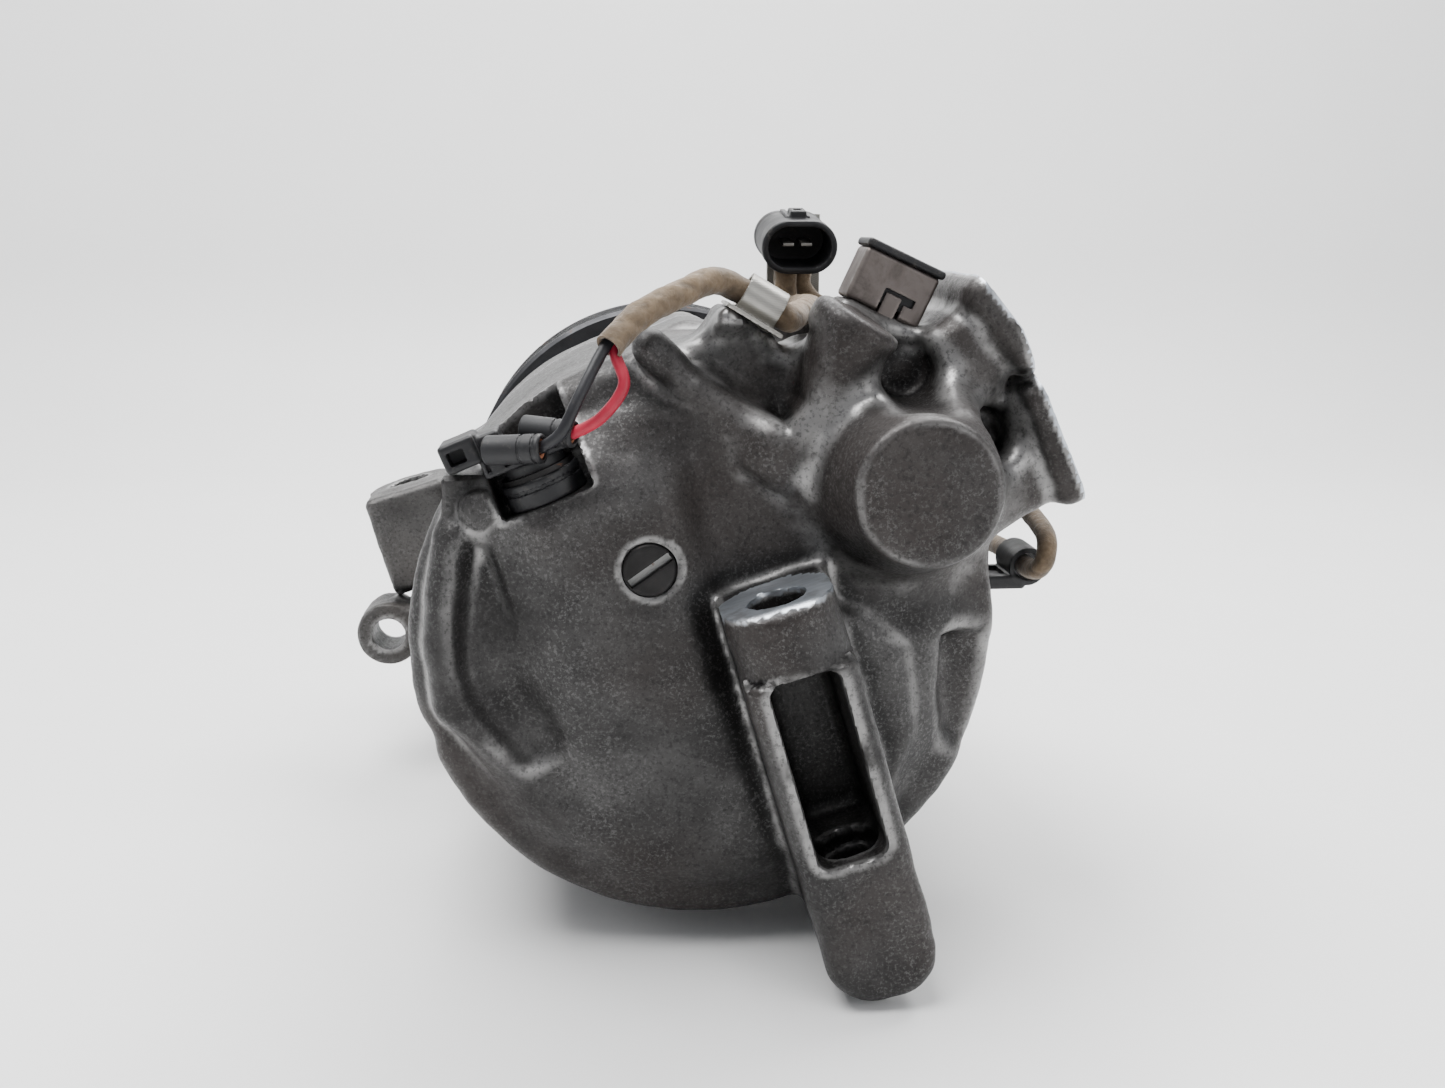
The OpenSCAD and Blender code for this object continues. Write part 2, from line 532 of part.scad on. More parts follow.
coil_route = [[40, -6, 22.7], [40, -6, 27], [48, -5, 36], [58, -1, 52], [66, 2, 74], [72, 5, 98],
    [73.5, 6, 116], [73.5, 6, 136], [74.5, 9, 142], [75.5, 14, 139], [75.5, 17, 126], [74, 22, 110],
    [66, 40, 104], [50, 60, 106], [38, 61, 110], [30, 62, 110], [26.4, 66, 108], [26.4, 70.2, 108]];
module black_lead() sweep_lead("black", black_route, 1.1, 4);
module red_lead() sweep_lead("crimson", red_route, 1.1, 4);
module lead_sleeve() sweep_lead("tan", sleeve_route, 2.6, 3, 10);
module coil_lead() sweep_lead("tan", coil_route, 2.2, 3, 8);
module sleeve_clip() color("silver") lay() rotate([0, 0, -31]) difference() {
    union() {
        box([-30.5, 57.5, 158], [-18.5, 58.3, 171]);
        translate([0, 61.3, 164]) rod_x(4.1, -28.5, -20.5);
    }
    translate([0, 61.3, 164]) rod_x(3.3, -30, -18);
    box([-40, 50, 150], [-10, 57.5, 180]);
}
module box_bracket() color("rosybrown") lay() rotate([0, 0, -25]) difference() {
    box([-3.5, 71.5, 151], [12, 82, 162]);
    box([-2.5, 72.5, 152], [11, 83, 161]);
    box([3, 70, 158], [5, 77, 164]);
}
module bracket_cap() color("black") lay() rotate([0, 0, -25]) {
    box([-2.5, 73, 152], [11, 82.4, 161]);
    box([-4, 82, 150.5], [12.5, 83.6, 162.5]);
}
// The two ends of the coil connector's rounded body
connector_ends = [21.5, 26.5];
module coil_connector() color("black") lay() difference() {
    union() {
        box([connector_ends[0], 70.4, 103], [connector_ends[1], 81.6, 121]);
        for (x = connector_ends) translate([x, 76, 0]) disc(5.7, 103, 121);
        box([connector_ends[0], 81, 106], [connector_ends[1], 83.6, 118]);
    }
    for (x = connector_ends) translate([x, 76, 0]) disc(4.4, 109, 122);
    box([connector_ends[0], 71.6, 109], [connector_ends[1], 80.4, 122]);
}
module connector_bracket() color("silver") lay() {
    box([19, 58, 101.4], [31, 82, 102.9]);
    box([19, 58, 95.5], [31, 59.5, 102.9]);
}
module coil_lead_clip() color("black") lay() difference() {
    union() {
        translate([73.5, 6, 0]) disc(4.2, 122, 134);
        box([61, 1, 122], [73, 4.2, 134]);
    }
    translate([73.5, 6, 0]) disc(3, 121, 135);
}

rear_housing();
front_housing();
casing_o_ring();
casing_bolts();
dowel_pins();
fixed_scroll();
fixed_scroll_tip_seal();
scroll_o_ring();
discharge_reed();
reed_stop();
reed_screw();
orbiting_scroll();
orbiting_scroll_tip_seal();
orbit_rings();
orbit_pins();
thrust_plate();
crank_bearing_cup();
crank_bearing_needles();
crankshaft();
drive_bush();
counterweight();
main_bearing_inner_race();
main_bearing_outer_race();
main_bearing_balls();
main_bearing_cage();
front_bearing_inner_race();
front_bearing_outer_race();
front_bearing_balls();
front_bearing_cage();
shaft_seal();
seal_ring();
pulley();
pulley_bearing_inner_race();
pulley_bearing_outer_race();
pulley_bearing_balls();
pulley_bearing_cage();
pulley_bearing_ring();
coil_shell();
coil_winding();
coil_ring();
clutch_hub();
hub_nut();
leaf_springs();
clutch_plate();
screw_plug();
heat_switch();
heat_switch_ring();
switch_plug();
switch_terminals();
black_lead();
red_lead();
lead_sleeve();
sleeve_clip();
box_bracket();
bracket_cap();
coil_connector();
connector_bracket();
coil_lead();
coil_lead_clip();
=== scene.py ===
"""The looks of the scroll compressor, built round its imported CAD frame.

Shapes are worked out in millimetres on the "bench": x to the right, y up, and z along the shaft,
from 0 at the middle of the belt towards the rear of the machine. to_row() turns that into the
frame's metres. The two castings and the small moulded pieces are signed-distance shapes: each is a
function that gives the distance to its surface, and skin() turns it into a mesh.
"""
import math

import bpy
import numpy as np
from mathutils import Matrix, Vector

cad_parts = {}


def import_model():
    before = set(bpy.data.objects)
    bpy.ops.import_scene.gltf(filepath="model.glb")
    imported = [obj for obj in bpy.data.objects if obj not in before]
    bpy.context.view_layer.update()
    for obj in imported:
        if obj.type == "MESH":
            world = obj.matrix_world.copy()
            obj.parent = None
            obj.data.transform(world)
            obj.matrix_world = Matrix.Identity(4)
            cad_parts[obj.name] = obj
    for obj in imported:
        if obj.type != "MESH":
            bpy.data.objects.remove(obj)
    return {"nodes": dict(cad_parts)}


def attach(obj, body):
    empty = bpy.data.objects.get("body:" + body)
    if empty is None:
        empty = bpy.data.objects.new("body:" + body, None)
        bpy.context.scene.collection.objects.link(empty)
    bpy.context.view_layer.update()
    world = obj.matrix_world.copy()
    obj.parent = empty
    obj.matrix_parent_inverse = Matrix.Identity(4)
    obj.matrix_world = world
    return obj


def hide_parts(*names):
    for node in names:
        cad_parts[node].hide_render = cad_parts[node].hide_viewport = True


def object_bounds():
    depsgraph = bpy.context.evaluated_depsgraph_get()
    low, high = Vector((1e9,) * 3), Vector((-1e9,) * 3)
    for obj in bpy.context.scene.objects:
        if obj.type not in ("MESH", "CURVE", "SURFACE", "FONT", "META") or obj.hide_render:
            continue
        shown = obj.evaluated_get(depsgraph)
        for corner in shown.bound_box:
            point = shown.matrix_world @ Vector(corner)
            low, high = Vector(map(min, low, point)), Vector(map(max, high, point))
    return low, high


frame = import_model()
CAD_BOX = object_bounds()

# ---- driving sizes, as in the CAD source (mm) ----
BODY_R = 57.5
SHELL_R = 46.6
BOLT_CIRCLE_R = 53.2
JOINT_Z = 104.0
RIM_Z = 168.0
FLANGE_T = 14.0
LEAN = 16.0
LUG_U, LUG_W, LUG_Z = 14.4, 21.0, RIM_Z + 20
LUG_TOP, LUG_END, LUG_BORE_R = 10.3, -68.0, 5.5
EAR_BORE_R = 4.25
PORT1 = dict(turn=39, face=84.0, side=11.9, half=10.8, bore_z=130, bore_r=8, tap_z=154)
PORT2 = dict(turn=24, face=78.6, side=7.9, half=13.3, bore_z=154, bore_r=6, tap_z=131)
TAP_R = 3.4
NOTCH_TURN, NOTCH_A, NOTCH_FLOOR = 22.0, (-25.5, -7.4), 38.6
SWITCH_A, SWITCH_Z, SWITCH_R = -16.4, RIM_Z + 2, 7.6
BUMP = (-42.5, 28.3)
PLUG = (-11.5, 17.5)
BOLTS = [(BOLT_CIRCLE_R * math.cos(math.radians(a)), BOLT_CIRCLE_R * math.sin(math.radians(a)))
         for a in range(30, 331, 60)]
RIB_ANGLES = (0, 60, 120, 240, 300)
CLIP_TURN, BRACKET_TURN, SLOT_TURN = -31.0, -25.0, 35.0
LOOP = (73.5, 6.0)
CONNECTOR_Y, CONNECTOR_Z, CONNECTOR_X, CONNECTOR_TIP = 76.0, 112.0, (21.5, 26.5), 8.0


# ---- distance shapes (mm) ----
def length(*parts):
    return np.sqrt(sum(v * v for v in parts))


def join(a, b, k=0.0):
    """The union of two shapes, filleted by k."""
    if k <= 0:
        return np.minimum(a, b)
    h = np.clip(0.5 + 0.5 * (b - a) / k, 0, 1)
    return b + (a - b) * h - k * h * (1 - h)


def cut(a, b, k=0.0):
    """Shape a with shape b taken away, the edge rounded by k."""
    return -join(-a, b, k)


def turned(x, y, degrees):
    c, s = math.cos(math.radians(degrees)), math.sin(math.radians(degrees))
    return x * c + y * s, y * c - x * s


def rounded(dx, dy, soft=0.0):
    """The distance to a corner whose two sides are dx and dy away."""
    dx, dy = dx + soft, dy + soft
    return np.minimum(np.maximum(dx, dy), 0) + length(np.maximum(dx, 0), np.maximum(dy, 0)) - soft


def rod(x, y, z, a, b, r, soft=0.0):
    """A cylinder from point a to point b with its end edges rounded by soft."""
    a, b = np.array(a, float), np.array(b, float)
    span = float(np.linalg.norm(b - a))
    d = (b - a) / span
    px, py, pz = x - a[0], y - a[1], z - a[2]
    along = px * d[0] + py * d[1] + pz * d[2]
    out = np.sqrt(np.maximum(px * px + py * py + pz * pz - along * along, 1e-9))
    return rounded(out - r, np.abs(along - span / 2) - span / 2, soft)


def cone(x, y, z, a, b, ra, rb, soft=0.0):
    """A rod whose radius goes from ra at a to rb at b."""
    a, b = np.array(a, float), np.array(b, float)
    span = float(np.linalg.norm(b - a))
    d = (b - a) / span
    px, py, pz = x - a[0], y - a[1], z - a[2]
    along = px * d[0] + py * d[1] + pz * d[2]
    out = np.sqrt(np.maximum(px * px + py * py + pz * pz - along * along, 1e-9))
    slope = (rb - ra) / span
    r = ra + slope * np.clip(along, 0, span)
    return rounded((out - r) / math.sqrt(1 + slope * slope), np.abs(along - span / 2) - span / 2, soft)


def disc(x, y, z, cx, cy, r, z0, z1, soft=0.0):
    """A cylinder along the shaft's direction."""
    return rounded(length(x - cx, y - cy) - r, np.abs(z - (z0 + z1) / 2) - (z1 - z0) / 2, soft)


def block(x, y, z, lo, hi, soft=0.0):
    qx, qy, qz = (np.abs(v - (l + h) / 2) - (h - l) / 2 + soft for v, l, h in zip((x, y, z), lo, hi))
    inside = np.minimum(np.maximum(np.maximum(qx, qy), qz), 0)
    return inside + length(*(np.maximum(q, 0) for q in (qx, qy, qz))) - soft


def outline(x, y, pts):
    """The distance to a closed outline in the x, y plane."""
    pts = np.array(pts, float)
    nearest, sign = None, None
    for a, b in zip(pts, np.roll(pts, -1, axis=0)):
        e = b - a
        wx, wy = x - a[0], y - a[1]
        t = np.clip((wx * e[0] + wy * e[1]) / (e @ e), 0, 1)
        d = (wx - e[0] * t) ** 2 + (wy - e[1] * t) ** 2
        nearest = d if nearest is None else np.minimum(nearest, d)
        above, below = y >= a[1], y < b[1]
        left = e[0] * wy > e[1] * wx
        flip = (above & below & left) | (~above & ~below & ~left)
        sign = np.where(flip, -1.0, 1.0) if sign is None else np.where(flip, -sign, sign)
    return sign * np.sqrt(nearest)


def slab(x, y, z, pts, z0, z1, soft=0.0):
    """A plate of the given outline from z0 to z1."""
    return rounded(outline(x, y, pts), np.abs(z - (z0 + z1) / 2) - (z1 - z0) / 2, soft)


def ripple(x, y, z, size, seed):
    """Gentle lumps about size mm apart, from -1 to 1."""
    rng = np.random.default_rng(seed)
    total = 0
    for _ in range(5):
        k = rng.normal(size=3)
        k *= 2 * math.pi / size / np.linalg.norm(k) * rng.uniform(0.7, 1.3)
        total = total + np.sin(x * k[0] + y * k[1] + z * k[2] + rng.uniform(0, 6.3))
    return total / 5


# ---- from a distance shape to a mesh ----
def to_row(p):
    """Bench millimetres to the frame's metres."""
    p = np.asarray(p, float)
    return np.stack([p[..., 0], -p[..., 2], p[..., 1]], -1) / 1000


def gradient(shape, p, step):
    """The outward direction of the shape's surface at the points p."""
    total = np.zeros_like(p)
    for k in np.array([[1, -1, -1], [-1, -1, 1], [-1, 1, -1], [1, 1, 1]], float):
        q = p + k * step
        total += k * shape(q[:, 0], q[:, 1], q[:, 2])[:, None]
    return total / np.maximum(np.linalg.norm(total, axis=1, keepdims=True), 1e-9)


def skin(shape, lo, hi, cell):
    """Dual contouring: one point in each cell that the surface crosses, placed on its edges and
    corners by least squares, and one quad round each crossed grid edge."""
    axes = [np.arange(l - cell, h + 2 * cell, cell) for l, h in zip(lo, hi)]
    value = shape(axes[0][:, None, None], axes[1][None, :, None], axes[2][None, None, :])
    inside = np.asarray(value) < 0
    n = inside.shape
    origin = np.array([a[0] for a in axes])
    flat = lambda i: (i[:, 0] * n[1] + i[:, 1]) * n[2] + i[:, 2]
    quads, cells, spots, ways = [], [], [], []
    for axis in range(3):
        head = [slice(None)] * 3
        tail = [slice(None)] * 3
        head[axis], tail[axis] = slice(0, -1), slice(1, None)
        at = np.argwhere(inside[tuple(head)] != inside[tuple(tail)])
        others = [a for a in range(3) if a != axis]
        at = at[(at[:, others] > 0).all(1)]
        far = at.copy()
        far[:, axis] += 1
        va, vb = value[tuple(at.T)], value[tuple(far.T)]
        t = va / (va - vb)
        spot = origin + at * cell
        spot[:, axis] += t * cell
        u, v = np.zeros(3, int), np.zeros(3, int)
        u[others[0]], v[others[1]] = 1, 1
        ring = [flat(at - u - v), flat(at - v), flat(at), flat(at - u)]
        turn = (va < 0) ^ (axis == 1)
        ring = np.stack(ring, 1)
        ring[~turn] = ring[~turn][:, ::-1]
        quads.append(ring)
        cells += list(ring.T)
        spots.append(spot)
        ways.append(gradient(shape, spot, 0.12 * cell))
    spot_of = np.concatenate([np.repeat(s[None], 4, 0).reshape(-1, 3) for s in spots])
    way_of = np.concatenate([np.repeat(w[None], 4, 0).reshape(-1, 3) for w in ways])
    owner = np.concatenate([q.T.reshape(-1) for q in quads])
    used, index = np.unique(owner, return_inverse=True)
    m = len(used)
    gather = lambda w: np.bincount(index, w, m)
    count = np.bincount(index, minlength=m)
    middle = np.stack([gather(spot_of[:, k]) for k in range(3)], 1) / count[:, None]
    reach = (way_of * (spot_of - middle[index])).sum(1)
    ata = np.zeros((m, 3, 3))
    for i in range(3):
        for j in range(3):
            ata[:, i, j] = gather(way_of[:, i] * way_of[:, j])
    atb = np.stack([gather(way_of[:, k] * reach) for k in range(3)], 1)
    ata += np.eye(3) * 0.06 * count[:, None, None]
    move = np.linalg.solve(ata, atb[..., None])[..., 0]
    low = origin + np.stack(np.unravel_index(used, n), 1) * cell
    points = np.clip(middle + move, low - 0.2 * cell, low + 1.2 * cell)
    place = np.zeros(int(used.max()) + 1, int)
    place[used] = np.arange(m)
    return points, place[np.concatenate(quads)]


def mesh_object(name, points, faces, sharp=35):
    """A smooth-shaded object from bench points, with creases where the surface turns sharply."""
    mesh = bpy.data.meshes.new(name)
    points = to_row(points)
    mesh.vertices.add(len(points))
    mesh.vertices.foreach_set("co", points.astype(np.float32).ravel())
    faces = np.asarray(faces)
    k = faces.shape[1]
    mesh.loops.add(faces.size)
    mesh.loops.foreach_set("vertex_index", faces.astype(np.int32).ravel())
    mesh.polygons.add(len(faces))
    mesh.polygons.foreach_set("loop_start", np.arange(0, faces.size, k, dtype=np.int32))
    mesh.polygons.foreach_set("loop_total", np.full(len(faces), k, np.int32))
    mesh.update(calc_edges=True)
    mesh.polygons.foreach_set("use_smooth", np.ones(len(faces), bool))
    mesh.set_sharp_from_angle(angle=math.radians(sharp))
    obj = bpy.data.objects.new(name, mesh)
    bpy.context.scene.collection.objects.link(obj)
    return obj


def note(obj, name, values):
    """Stores one number at each point of a mesh, for its material to read."""
    layer = obj.data.attributes.new(name, "FLOAT", "POINT")
    layer.data.foreach_set("value", np.asarray(values, np.float32))


def sculpt(name, shape, lo, hi, cell, machined=None, wear=3.0):
    """Skins a shape and stores how hollow, how proud and how machined each point is."""
    points, faces = skin(shape, lo, hi, cell)
    obj = mesh_object(name, points, faces)
    out = gradient(shape, points, 0.3 * cell)
    probe = lambda d: shape(*(points + out * d).T) / abs(d)
    # hollow and proud come from probing the shape wear mm along its normal; the casting finish paints shade
    # in the hollows and highlight on the proud edges from them
    hollow = 0.5 * (1 - probe(wear)) + 0.5 * (1 - probe(3 * wear))
    proud = 1 + probe(-0.5 * wear)
    note(obj, "hollow", np.clip(hollow, 0, 1))
    note(obj, "proud", np.clip(proud, 0, 1))
    note(obj, "machined", machined(*points.T) if machined else np.zeros(len(points)))
    return obj


# ---- the two castings ----
PLATEAU = [(-37.5, 28.3), (-23, 36.3), (-13, 37.6), (-5.8, 36.1), (-2.2, 23), (0.5, 11.6), (4.3, -3.9),
           (14, -30), (20, -48), (0, -51), (-14, -45), (-24, -31), (-30, -14), (-33, 2), (-34, 16)]
LEFT_RIDGE = [(-47, 22.1), (-48.8, 11.7), (-49.4, 0.2), (-48.1, -9.6), (-41.9, -15.4), (-37, -20)]
LEFT_VALLEY = [(-41, 18), (-42.3, 8), (-42, -2), (-38.5, -10), (-33.5, -17)]
V_RIDGE = [(-10.5, 57.5), (-5, 53), (-2.3, 50.2), (4.5, 46), (10.3, 41.6), (14, 38.6)]
V_POCKET = [(-4, 60.2), (-2.2, 55), (4.5, 50), (11, 45.8), (14.2, 43.5), (17.5, 48), (18, 60.5)]
RIM_SCALLOP = [(45.5, 1.2), (55, 1), (60, -4), (60, -24), (53.1, -25), (47.5, -19.8), (45.5, -10.9)]
LEDGE = [(22, 9), (29, 6.5), (37, -0.6), (39.5, -17), (33, -40), (22, -44)]
DISC_BOSS = (37.4, 33.3)
TOP_BOSS = dict(turn=58, side=9.0, z=RIM_Z + 5, r=9.3, end=68.5)


def chain(x, y, z, pts, level, r):
    """A rod bent through the points, at one depth."""
    shape = None
    for a, b in zip(pts, pts[1:]):
        a3, b3 = np.array([*a, level], float), np.array([*b, level], float)
        d = b3 - a3
        t = np.clip(((x - a3[0]) * d[0] + (y - a3[1]) * d[1] + (z - a3[2]) * d[2]) / (d @ d), 0, 1)
        gap = length(x - a3[0] - t * d[0], y - a3[1] - t * d[1], z - a3[2] - t * d[2]) - r
        shape = gap if shape is None else np.minimum(shape, gap)
    return shape


def lug_bar(u, v, z):
    """The bar of the rear lug: round above its pocket, flat beside it, and with a rounded foot."""
    mid_v, half_v = (LUG_TOP + LUG_END) / 2, (LUG_TOP - LUG_END) / 2
    side, along = np.abs(u - LUG_U) - LUG_W / 2, np.abs(v - mid_v) - half_v
    flat = np.where(v < mid_v, rounded(side, along, 9.0), rounded(side, along, 0.6))
    front = LUG_Z + LUG_W / 2
    bar = rounded(flat, np.abs(z - (front + 140) / 2) - (front - 140) / 2, 3.6)
    boss = np.where(z > LUG_Z, length(u - LUG_U, z - LUG_Z), np.abs(u - LUG_U)) - LUG_W / 2
    head = rounded(boss, np.abs(v - mid_v) - half_v, 0.6)
    return np.where(v > -2, np.maximum(bar, head), bar)


def port(x, y, z, p, z0, z1):
    """A port's block and its flange, seen along the block."""
    px, py = turned(x, y, p["turn"])
    s, half = p["side"], p["half"]
    neck = block(px, py, z, (20, s - half + 1.5, z0 + 1), (p["face"] - 5, s + half - 3.0, z1 - 1.5), 5)
    flange = block(px, py, z, (p["face"] - 6, s - half, z0), (p["face"] + 6, s + half, z1), 4.5)
    return join(neck, flange, 4)


def rear_bores(x, y, z):
    u, v = turned(x, y, LEAN)
    shape = rod(u, v, z, (LUG_U, LUG_END - 3, LUG_Z), (LUG_U, LUG_TOP + 3, LUG_Z), LUG_BORE_R)
    for p in (PORT1, PORT2):
        px, py = turned(x, y, p["turn"])
        face, side, bore_z, bore_r, tap_z = (p[k] for k in ("face", "side", "bore_z", "bore_r", "tap_z"))
        hole = rod(px, py, z, (38, side, bore_z), (face + 2, side, bore_z), bore_r)
        lip = cone(px, py, z, (face - 1, side, bore_z), (face + 1, side, bore_z), bore_r, bore_r + 2)
        tap = rod(px, py, z, (face - 16, side, tap_z), (face + 2, side, tap_z), TAP_R)
        shape = np.minimum(np.minimum(shape, hole), np.minimum(lip, tap))
    for bx, by in BOLTS:
        shape = np.minimum(shape, disc(x, y, z, bx, by, 3.0, JOINT_Z - 1, JOINT_Z + 20))
    return shape


def rear_hollow(x, y, z):
    return np.minimum(disc(x, y, z, 0, 0, SHELL_R, JOINT_Z - 1, 147),
                      disc(x, y, z, 0, 0, 44, 146, RIM_Z - 8))


def rear_casing(x, y, z):
    u, v = turned(x, y, LEAN)
    r = length(x, y)
    body = rounded(r - BODY_R, z - RIM_Z, 4.5)
    dome = rounded((r - 50.5 + np.clip(z - RIM_Z, -4, 9) * 0.9) / 1.35, z - (RIM_Z + 5.5), 3)
    body = join(body, dome, 4)
    # the plateau falls away towards the bottom rim
    top = RIM_Z + 12 - 0.25 * np.clip(-y - 6, 0, 60)
    plateau = rounded(outline(x, y, PLATEAU) + 0.8 * np.clip(z - top + 4, -5, 5), z - top, 3.6)
    plateau = np.maximum(plateau, 150 - z)
    body = join(body, plateau, 6)
    body = join(body, chain(x, y, z, LEFT_RIDGE, RIM_Z + 3.4, 4.6), 4)
    body = cut(body, chain(x, y, z, LEFT_VALLEY, RIM_Z + 9.2, 5.2), 3)
    body = cut(body, rod(x, y, z, (-27, -31, RIM_Z + 12), (-31, -24, RIM_Z + 12.5), 6.5, 3), 4)
    # clip seat, V-shaped ridge and the pocket above it
    cx, cy = turned(x, y, CLIP_TURN)
    body = join(body, block(cx, cy, z, (-31, 40, 150), (-18, 57.5, 171), 2.2), 4)
    body = join(body, chain(x, y, z, V_RIDGE, RIM_Z + 2.6, 3.6), 4)
    bx, by = turned(x, y, BRACKET_TURN)
    body = join(body, block(bx, by, z, (-4, 40, 148), (13, 71.5, 163), 2.5), 4)
    tx, ty = turned(x, y, TOP_BOSS["turn"])
    side, end, level = TOP_BOSS["side"], TOP_BOSS["end"], TOP_BOSS["z"]
    boss = cone(tx, ty, z, (34, side, level - 3), (end, side, level), 7.4, TOP_BOSS["r"], 2.4)
    web = block(tx, ty, z, (34, side - 6, 146), (60, side + 6, 171), 3)
    body = join(body, join(boss, web, 4), 5)
    body = cut(body, slab(x, y, z, V_POCKET, RIM_Z - 2, RIM_Z + 20, 3.5), 5)
    # the two ports, the round foundry boss and the hollow between them
    body = join(body, port(x, y, z, PORT1, 116, 172), 4)
    body = join(body, port(x, y, z, PORT2, 117, 171), 2.5)
    flare = cone(x, y, z, (*DISC_BOSS, 158), (*DISC_BOSS, RIM_Z + 25.5), 24.0, 13.2, 1)
    body = join(body, flare, 7)
    body = cut(body, rod(x, y, z, (38, 52.5, RIM_Z - 6), (38.5, 50.5, RIM_Z + 20), 5.4, 2), 5)
    body = cut(body, rod(x, y, z, (53, 40, RIM_Z - 7), (55, 40, RIM_Z + 16), 5.0, 2), 5)
    # ground round the heat switch's notch, and the square block
    nx, ny = turned(x, y, NOTCH_TURN)
    body = join(body, block(nx, ny, z, (-30, 20, 150), (-3, 43.5, RIM_Z + 7), 2.5), 4)
    body = join(body, block(x, y, z, (-49.5, 22, 150), (-38, 34.6, RIM_Z + 5.5), 1.6), 2)
    # scallop at the right rim, notch at the left
    body = cut(body, slab(x, y, z, RIM_SCALLOP, RIM_Z - 3.5, RIM_Z + 20, 3.5), 4)
    body = cut(body, rod(x, y, z, (-58.5, -20, 150), (-57, -19.5, 176), 3.6, 2), 3)
    body = join(body, slab(x, y, z, LEDGE, 150, RIM_Z + 8, 2.5), 4)
    # lug, filleted into the casing, then everything else that stands alone
    body = join(body, lug_bar(u, v, z), 3.2)
    for ax, ay in BOLTS:
        body = join(body, disc(x, y, z, ax, ay, 6.2, JOINT_Z - 4, JOINT_Z + 22, 1.5), 3)
    body = join(body, block(x, y, z, (50, -2, 120), (61, 8, 136), 1.5), 2)
    lumps = 0.22 * ripple(x, y, z, 13, 3) + 0.10 * ripple(x, y, z, 5, 4)
    body = body + lumps
    body = join(body, disc(x, y, z, *DISC_BOSS, 13, 160, RIM_Z + 26, 0.7), 1.5)
    bump = disc(x, y, z, *BUMP, 3.8, 150, RIM_Z + 8.6, 2.2)
    body = join(body, bump, 1.4)
    # machined cuts
    spot = rod(u, v, z, (LUG_U, LUG_TOP, LUG_Z), (LUG_U, LUG_TOP + 15, LUG_Z), 11.8)
    body = cut(body, spot)
    pocket = block(u, v, z, (LUG_U - 6.5, -39, RIM_Z + 4), (LUG_U + 6.5, -2.5, LUG_Z + 30), 2.4)
    body = cut(body, pocket, 0.8)
    foot = rod(u, v, z, (LUG_U, -42.5, LUG_Z), (LUG_U, -36, LUG_Z), 6.3, 0.5)
    body = cut(body, foot, 0.5)
    for p in (PORT1, PORT2):
        px, _ = turned(x, y, p["turn"])
        body = np.maximum(body, px - p["face"])
    body = cut(body, rear_bores(x, y, z))
    notch = block(nx, ny, z, (NOTCH_A[0], NOTCH_FLOOR, RIM_Z - 6), (NOTCH_A[1], 64, RIM_Z + 30), 0.8)
    body = cut(body, notch, 0.8)
    body = cut(body, disc(x, y, z, *PLUG, 5.15, RIM_Z - 8, RIM_Z + 30), 0.5)
    body = cut(body, rear_hollow(x, y, z))
    return np.maximum(body, JOINT_Z - z)


def rear_machined(x, y, z):
    u, v = turned(x, y, LEAN)
    off = length(u - LUG_U, z - LUG_Z)
    on = (np.abs(v - LUG_TOP) < 0.35) & (off < 12.2) & (off > LUG_BORE_R - 0.1)
    on |= z < JOINT_Z + 0.3
    for p in (PORT1, PORT2):
        on |= turned(x, y, p["turn"])[0] > p["face"] - 0.3
    on |= rear_hollow(x, y, z) < 0.3
    collar = np.clip(1 - (LUG_TOP - v) / 4.5, 0, 1) * (off < 12) * (v < LUG_TOP + 0.1) * (z > LUG_Z - 9)
    return np.maximum(on * 1.0, 0.38 * collar)


EARS = [(-75.8, -26.2, 8.3), (-34, -53.2, 10)]
FRONT_PROFILE = [(0, JOINT_Z - FLANGE_T), (46.5, JOINT_Z - FLANGE_T), (46.5, 52), (42, 40), (34, 30),
                 (27, 24), (27, 22.5), (19.5, 22.5), (19.5, 12), (17.5, 10.5), (17.5, -13), (0, -13)]

SHAFT_STEPS = [(28, 74, 101), (26, 58.5, 75), (20, 50, 59), (15, 42.5, 51), (14, 12, 43), (9, -14, 13)]


def front_bores(x, y, z):
    u, v = turned(x, y, LEAN)
    shape = rod(u, v, z, (-65.5, 2, 38), (-65.5, 32, 38), 5.5)
    shape = np.minimum(shape, rod(u, v, z, (LUG_U, -69, 44), (LUG_U, -41, 44), 5.5))
    for ex, ey, _ in EARS:
        shape = np.minimum(shape, disc(x, y, z, ex, ey, EAR_BORE_R, 44, 62))
    for bx, by in BOLTS:
        shape = np.minimum(shape, disc(x, y, z, bx, by, 3.2, JOINT_Z - FLANGE_T - 1, JOINT_Z + 1))
    return shape


def front_hollow(x, y, z):
    shape = disc(x, y, z, 0, 0, 45.5, 100, JOINT_Z + 2)
    for r, z0, z1 in SHAFT_STEPS:
        shape = np.minimum(shape, disc(x, y, z, 0, 0, r, z0, z1))
    return shape


